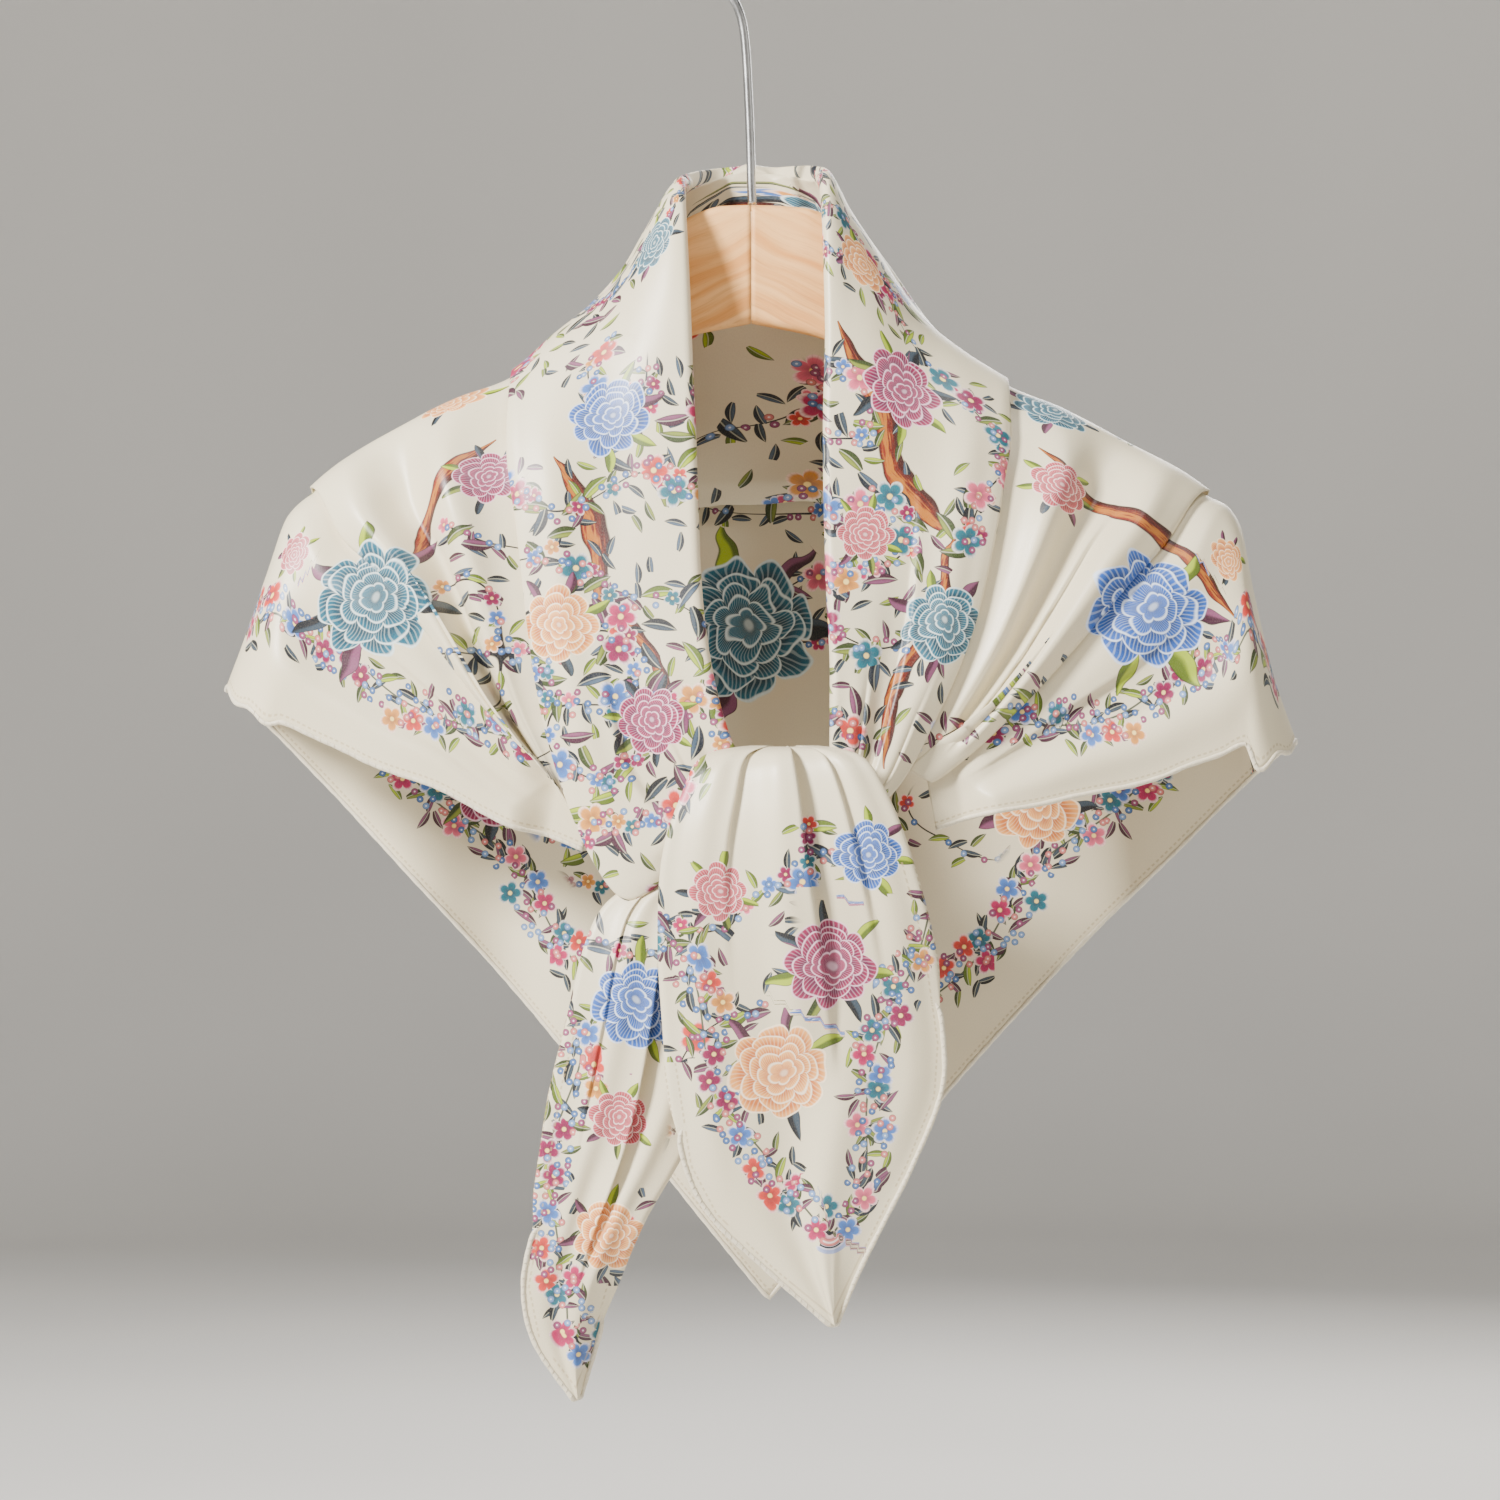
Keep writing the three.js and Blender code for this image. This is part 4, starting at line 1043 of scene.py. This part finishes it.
def silk_material(name, hemmed):
    g = Graph(name)
    flat = g.stored("flat")
    weave = g.noise(g.vector("MULTIPLY", flat, (1.0, 0.45, 1.0)), 2600.0, 0.0)
    cloudy = g.noise(flat, 60.0, 1.0)
    base = silk_colour(g, hemmed)
    base = g.colour(g.mul(g.ramp(weave, 0.35, 0.75), 0.16), base, g.colour(0.5, base, rgb("a89c85")))
    rough = g.add(0.31, g.add(g.mul(weave, 0.14), g.mul(cloudy, 0.06)))
    return g.surface(base, rough, 0.22, weave, 0.0001, {
        "Specular IOR Level": 0.45, "Sheen Weight": 0.04, "Sheen Roughness": 0.35, "Anisotropic": 0.35})


def hem_material():
    g = Graph("silk_hem")
    grain = g.noise(g.object_place(), 900.0, 2.0, dimensions="3D")
    base = g.colour(grain, rgb("c4b89c"), rgb("e2dac6"))
    rough = g.add(0.4, g.mul(grain, 0.2))
    return g.surface(base, rough, 0.4, grain, 0.0002, {"Sheen Weight": 0.25, "Sheen Roughness": 0.4})


# Cosine and sine of the slope at which the grain falls away from the seam
GRAIN_COSINE = 0.9
GRAIN_SINE = 0.43


def wood_material(side):
    """Pale maple whose grain falls away from the middle seam, as in the two halves of the neck block."""
    g = Graph("maple_" + side)
    where = g.split(g.object_place())
    out = g.absolute(where[0])
    along = g.sub(g.mul(out, GRAIN_COSINE), g.mul(where[2], GRAIN_SINE))
    across = g.add(g.mul(out, GRAIN_SINE), g.mul(where[2], GRAIN_COSINE))
    bend = g.mul(g.sub(g.noise(g.join(along, across), 22.0, 1.0), 0.5), 0.012)
    bent = g.add(across, bend)
    depth = g.add(where[1], 0.0 if side == "left" else 0.31)

    def grain(stretch, scale):
        return g.noise(g.join(g.mul(along, stretch), depth, bent), scale, dimensions="3D")

    bands, lines, fibre = grain(0.05, 190.0), grain(0.03, 620.0), grain(0.05, 2400.0)
    base = g.colour(g.ramp(bands, 0.35, 0.68), rgb("ecb575"), rgb("d89550"))
    base = g.colour(g.mul(g.ramp(lines, 0.52, 0.72), 0.4), base, rgb("c07e42"))
    base = g.colour(g.mul(g.ramp(fibre, 0.5, 0.8), 0.22), base, rgb("a8672e"))
    rough = g.add(0.4, g.mul(fibre, 0.2))
    return g.surface(base, rough, 0.2, g.add(fibre, g.mul(lines, 0.5)), 0.0003, {
        "Specular IOR Level": 0.35, "Coat Weight": 0.06, "Coat Roughness": 0.3})


def steel_material():
    g = Graph("steel_wire")
    where = g.object_place()
    streak = g.noise(g.vector("MULTIPLY", where, (1.0, 1.0, 0.04)), 3000.0, dimensions="3D")
    smudge = g.noise(where, 70.0, 3.0, dimensions="3D")
    rough = g.add(0.16, g.add(g.mul(streak, 0.12), g.mul(smudge, 0.1)))
    base = g.colour(smudge, rgb("b4b6b8"), rgb("d2d3d3"))
    return g.surface(base, rough, 0.15, streak, 0.0001, {"Metallic": 1.0})


def floor_material():
    g = Graph("pale_floor")
    base = g.colour(g.noise(g.object_place(), 3.0, 0.0), rgb("e0deda"), rgb("e6e4e0"))
    return g.finish(g.node("ShaderNodeBsdfDiffuse", (base,)))


silk_inside = silk_material("printed_silk", False)
silk_at_hem = silk_material("printed_silk_at_hem", True)
silk_hem = hem_material()


# Hem and hanger


def ring_faces(rings, around):
    """Faces between closed rings of points."""
    faces = []
    for ring in range(rings - 1):
        for step in range(around):
            a, b = ring * around + step, ring * around + (step + 1) % around
            faces.append((a, b, b + around, a + around))
    return faces


def closed_faces(rings, around):
    """Faces between rings of points, and one over each end."""
    last = (rings - 1) * around
    return ring_faces(rings, around) + [tuple(range(around))[::-1], tuple(range(last, last + around))]


def tube_parts(path, radii, around):
    """Points and faces of a closed tube along a path."""
    path = np.asarray(path, float)
    side = np.array([0.31, 0.9, 0.27])
    points = []
    for i, direction in enumerate(unit(np.gradient(path, axis=0))):
        side = side - direction * (side @ direction)
        side = side / np.linalg.norm(side)
        other = np.cross(direction, side)
        for step in range(around):
            turn = 2 * math.pi * step / around
            points.append(path[i] + radii[i] * (side * math.cos(turn) + other * math.sin(turn)))
    return points, closed_faces(len(path), around)


HEM_RADIUS = 1.15
HEM_STEP = 2.0
STITCH_GAP = 3.4
STITCH_RADIUS = 0.2
FORWARD = (0, -1, 0)
BACKWARD = (0, 1, 0)


def resample(path, gap):
    """Evenly spaced points along a path."""
    path = np.asarray(path, float)
    lengths = np.concatenate([[0], np.cumsum(np.linalg.norm(np.diff(path, axis=0), axis=-1))])
    count = max(int(lengths[-1] / gap), 2)
    at = np.linspace(0, lengths[-1], count + 1)
    return np.stack([np.interp(at, lengths, path[:, i]) for i in range(3)], -1)


def stitch(spot, along, out):
    """One slanting hand stitch on the face of a hem."""
    inner = unit(np.cross(out, along))
    start = spot + out * HEM_RADIUS * 0.9 - along * 0.5 + inner * 0.75
    stop = spot + out * HEM_RADIUS * 0.9 + along * 0.5 - inner * 0.75
    middle = (start + stop) / 2 + out * 0.22
    return tube_parts([start, middle, stop], [STITCH_RADIUS * 0.6, STITCH_RADIUS, STITCH_RADIUS * 0.6], 5)


def hem_object(name, edges):
    """Rolled hem with its stitches along edges of cloth, each given with the way its face looks."""
    path = np.concatenate([edge for edge, _ in edges])
    outs = np.concatenate([np.tile(np.array(way, float), (len(edge), 1)) for edge, way in edges])
    line = resample(path, HEM_STEP)
    count = np.arange(len(line))
    swell = 1 + 0.07 * np.sin(count * 1.3) + 0.05 * np.sin(count * 0.37)
    points, faces = tube_parts(line, HEM_RADIUS * swell, 8)
    marks = resample(path, STITCH_GAP)
    for before, spot, after in zip(marks, marks[1:], marks[2:]):
        out = outs[np.argmin(np.linalg.norm(path - spot, axis=-1))]
        more, sides = stitch(spot, unit(after - before), out)
        base = len(points)
        points += more
        faces += [tuple(base + v for v in side) for side in sides]
    obj = new_object(name, np.array(points) * MM, faces, silk_hem)
    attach(obj, "root")
    return obj


hanger_foot = level_curve(HANGER_UNDER)


def hanger_top(x):
    reach = np.abs(x)
    neck_room = mix(21, 5, smooth((reach - 44) / 60))
    lower = mix(neck_room, 2.15, smooth((reach - 118) / 24) * smooth((186 - reach) / 18))
    return np.minimum(BLOCK_TOP - BLOCK_FALL * (x / 32) ** 2, outline_height(x) - lower)


def board_rings(side, rings):
    """Rings of points round one half of the board, from the middle seam to its end."""
    corner_steps = 6
    reach = np.linspace(0.12, ARM_HALF, rings)
    rounding = smooth((ARM_HALF - reach) / 12)
    top = hanger_top(side * reach)
    foot = np.minimum(hanger_foot(reach), top - 12)
    centre, tall = (top + foot) / 2, (top - foot) / 2 * mix(0.55, 1, np.sqrt(rounding))
    around = []
    for corner in range(4):
        sign_y, sign_z = (1 if corner in (0, 3) else -1), (1 if corner < 2 else -1)
        for step in range(corner_steps + 1):
            turn = (step / corner_steps + corner) * math.pi / 2
            y = (sign_y * (BOARD_HALF - BOARD_ROUND) + BOARD_ROUND * math.cos(turn)) * mix(0.6, 1, rounding)
            z = centre + sign_z * (tall - BOARD_ROUND) + BOARD_ROUND * math.sin(turn)
            around.append(np.stack([side * reach, y, z], -1))
    return np.stack(around, 1)


def hanger_arm(name, node, side):
    points = board_rings(side, 91)
    faces = closed_faces(*points.shape[:2])
    if side < 0:
        faces = [face[::-1] for face in faces]
    obj = new_object(name, points.reshape(-1, 3) * MM, faces, wood_material(node.split("_")[-1]))
    obj.data.polygons.foreach_set("use_smooth", np.array([len(face) == 4 for face in faces]))
    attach(obj, "root")
    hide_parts(node)
    return obj


def hook_wire():
    points = [(0.5, BLOCK_TOP + 0.4), (0.0, -128), (-0.2, -118), (-1.2, -92), (-3, -64), (-6.5, -50),
              (-14, -39)]
    for step in range(25):
        turn = mix(math.pi * 1.1, -math.pi * 0.16, step / 24)
        height = WIRE_RADIUS - HOOK_RADIUS + HOOK_RADIUS * math.sin(turn)
        points.append((HOOK_RADIUS * math.cos(turn), height))
    path = resample(through([(x, 0, z) for x, z in points], np.linspace(0, len(points) - 1, 240)), 1.5)
    radii = np.full(len(path), float(WIRE_RADIUS))
    radii[-2:] = WIRE_RADIUS * 0.85, WIRE_RADIUS * 0.5
    points, faces = tube_parts(path, radii, 20)
    obj = new_object("steel_hook", np.array(points) * MM, faces, steel_material())
    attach(obj, "root")
    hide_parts("hook")


wood_left = hanger_arm("wood_arm_left", "hanger_arm_left", -1)
wood_right = hanger_arm("wood_arm_right", "hanger_arm_right", 1)
hook_wire()


# Scarf


def shoulder_flat(grid):
    points, x, way, garland = grid
    return points, print_place(x, way), garland


def tail_flat(levels, pleats, corners, hem_line, garland_line, curl):
    """Tail with its flat places, and the distances from its garland and its hem."""
    points = tail(levels, pleats, corners, curl)
    flat = points[..., [0, 2]]
    hem, _, _, beyond = polyline_distance(flat, hem_line)
    gap, along, sign, _ = polyline_distance(flat, garland_line)
    return points, flat, np.stack([along, GARLAND_GAP + gap * sign, np.where(beyond, FAR, hem)], -1)


FRONT_CORNERS = (-556, -500)
LOW_CORNERS = (-600, -640)
FRONT_HEM = [(-35.5, -520), (-28.5, -566), (-17, -588), (8, -612), (36, -635), (47, -612), (59, -588),
             (70, -566), (82, -536), (83.5, -512), (77, -468), (67, -431)]
LOW_HEM = [(-78.5, -503), (-86, -534), (-90.5, -562), (-95, -592), (-100, -620), (-95, -645), (-76, -670),
           (-67.5, -645), (-60.5, -620)]
FRONT_GARLAND = [(-75, -420), (-30, -480), (-8, -540), (12, -578), (34, -594), (46, -572), (54, -535),
                 (60, -490), (95, -420)]
LOW_GARLAND = [(-100, -440), (-78, -520), (-85, -570), (-88, -610), (-80, -640), (-45, -660)]

# How many rows of each tail have a hem on their left and right edge
FRONT_HEMMED = (62, 80)
LOW_HEMMED = (70, 44)


def tail_hem(name, points, hemmed):
    left, right = points[-hemmed[0]:, 0], points[-hemmed[1]:, -1][::-1]
    return hem_object(name, [(left, FORWARD), (right, FORWARD)])


shoulder_hem = {}
for side in ("left", "right"):
    turned = side == "right"
    band = shoulder_flat(front_band(side))
    upper = shoulder_flat(cape(side, "tuck", "fold", "neck", "upper " + side, band_above(side), 0, True))
    lower = shoulder_flat(cape(side, "fold", "hem", "tuck", "lower " + side, cape_above(side), 1, False))
    shoulder_hem[side] = lower[0][:, -1]
    region = "shoulder " + side
    cloth("front_band_" + side, band, "band " + side, (0, 0), turned)
    cloth("cape_upper_" + side, upper, region, (61, -23), not turned)
    cloth("cape_lower_" + side, lower, region, (-29, 31), not turned)

collar = shoulder_flat(collar_at_back())
back = shoulder_flat(back_panel())
front_tail = tail_flat(FRONT_TAIL, FRONT_PLEATS, FRONT_CORNERS, FRONT_HEM, FRONT_GARLAND, 4)
low_tail = tail_flat(LOW_TAIL, LOW_PLEATS, LOW_CORNERS, LOW_HEM, LOW_GARLAND, 9)

hem_shoulders = hem_object("hem_shoulders", [
    (shoulder_hem["left"], FORWARD), (back[0][:, -1], BACKWARD), (shoulder_hem["right"][::-1], FORWARD)])
hem_front = tail_hem("hem_tail_front", front_tail[0], FRONT_HEMMED)
hem_low = tail_hem("hem_tail_low", low_tail[0], LOW_HEMMED)

cloth("collar_back", collar, "collar", (0, 0), False)
cloth("back_panel", back, "back", (17, 29), False)
cloth("tail_front", front_tail, "tail front", (13, 7), False)
cloth("tail_low", low_tail, "tail low", (40, 19), False)


# Floor, light and camera


FLOOR_LEVEL = -0.92
FLOOR_REACH = 3.2
SWEEP = 1.6
WALL_TOP = 2.4


def stage_sweep():
    """Round pale floor that curves up into a wall on every side, in metres."""
    profile = [(0.05, FLOOR_LEVEL), (FLOOR_REACH, FLOOR_LEVEL)]
    for i in range(1, 17):
        turn = i / 16 * math.pi / 2
        profile.append((FLOOR_REACH + SWEEP * math.sin(turn), FLOOR_LEVEL + SWEEP * (1 - math.cos(turn))))
    profile.append((FLOOR_REACH + SWEEP, WALL_TOP))
    around = 72
    turns = [2 * math.pi * i / around for i in range(around)]
    points = [(r * math.cos(t), r * math.sin(t), z) for r, z in profile for t in turns]
    faces = ring_faces(len(profile), around) + [tuple(range(around))]
    floor = new_object("floor", points, faces, floor_material())


def soft_light(name, location, target, size, watts):
    data = bpy.data.lights.new(name, "AREA")
    data.shape = "RECTANGLE"
    data.size, data.size_y = size
    data.energy = watts
    data.color = (1.0, 0.975, 0.94)
    light = bpy.data.objects.new(name, data)
    light.location = location
    direction = np.array(target, float) - np.array(location, float)
    light.rotation_euler = Vector(direction).to_track_quat("-Z", "Y").to_euler()
    bpy.context.scene.collection.objects.link(light)


def lighting():
    world = bpy.data.worlds.new("studio")
    world.use_nodes = True
    world.node_tree.nodes["Background"].inputs["Color"].default_value = (0.84, 0.84, 0.84, 1)
    world.node_tree.nodes["Background"].inputs["Strength"].default_value = 0.06
    bpy.context.scene.world = world
    soft_light("key", (-1.55, -1.35, 0.75), (0, 0, -0.38), (0.45, 0.45), 180)
    soft_light("above", (0.7, -1.0, 1.5), (0, 0, -0.3), (0.7, 0.7), 24)
    soft_light("fill", (2.0, -1.2, 0.0), (0, 0, -0.4), (0.9, 1.6), 4)
    soft_light("behind", (0.6, 1.9, 0.6), (0, 0, -0.35), (1.2, 1.2), 40)


CAMERA_AWAY = 2.2
VIEW_WIDTH = 0.675


def camera():
    data = bpy.data.cameras.new("camera")
    data.sensor_width = 36
    data.lens = data.sensor_width * CAMERA_AWAY / VIEW_WIDTH
    view = bpy.data.objects.new("camera", data)
    view.location = (-0.0005, -CAMERA_AWAY, -0.385)
    view.rotation_euler = (math.pi / 2, 0, 0)
    bpy.context.scene.collection.objects.link(view)
    bpy.context.scene.camera = view


stage_sweep()
lighting()
camera()
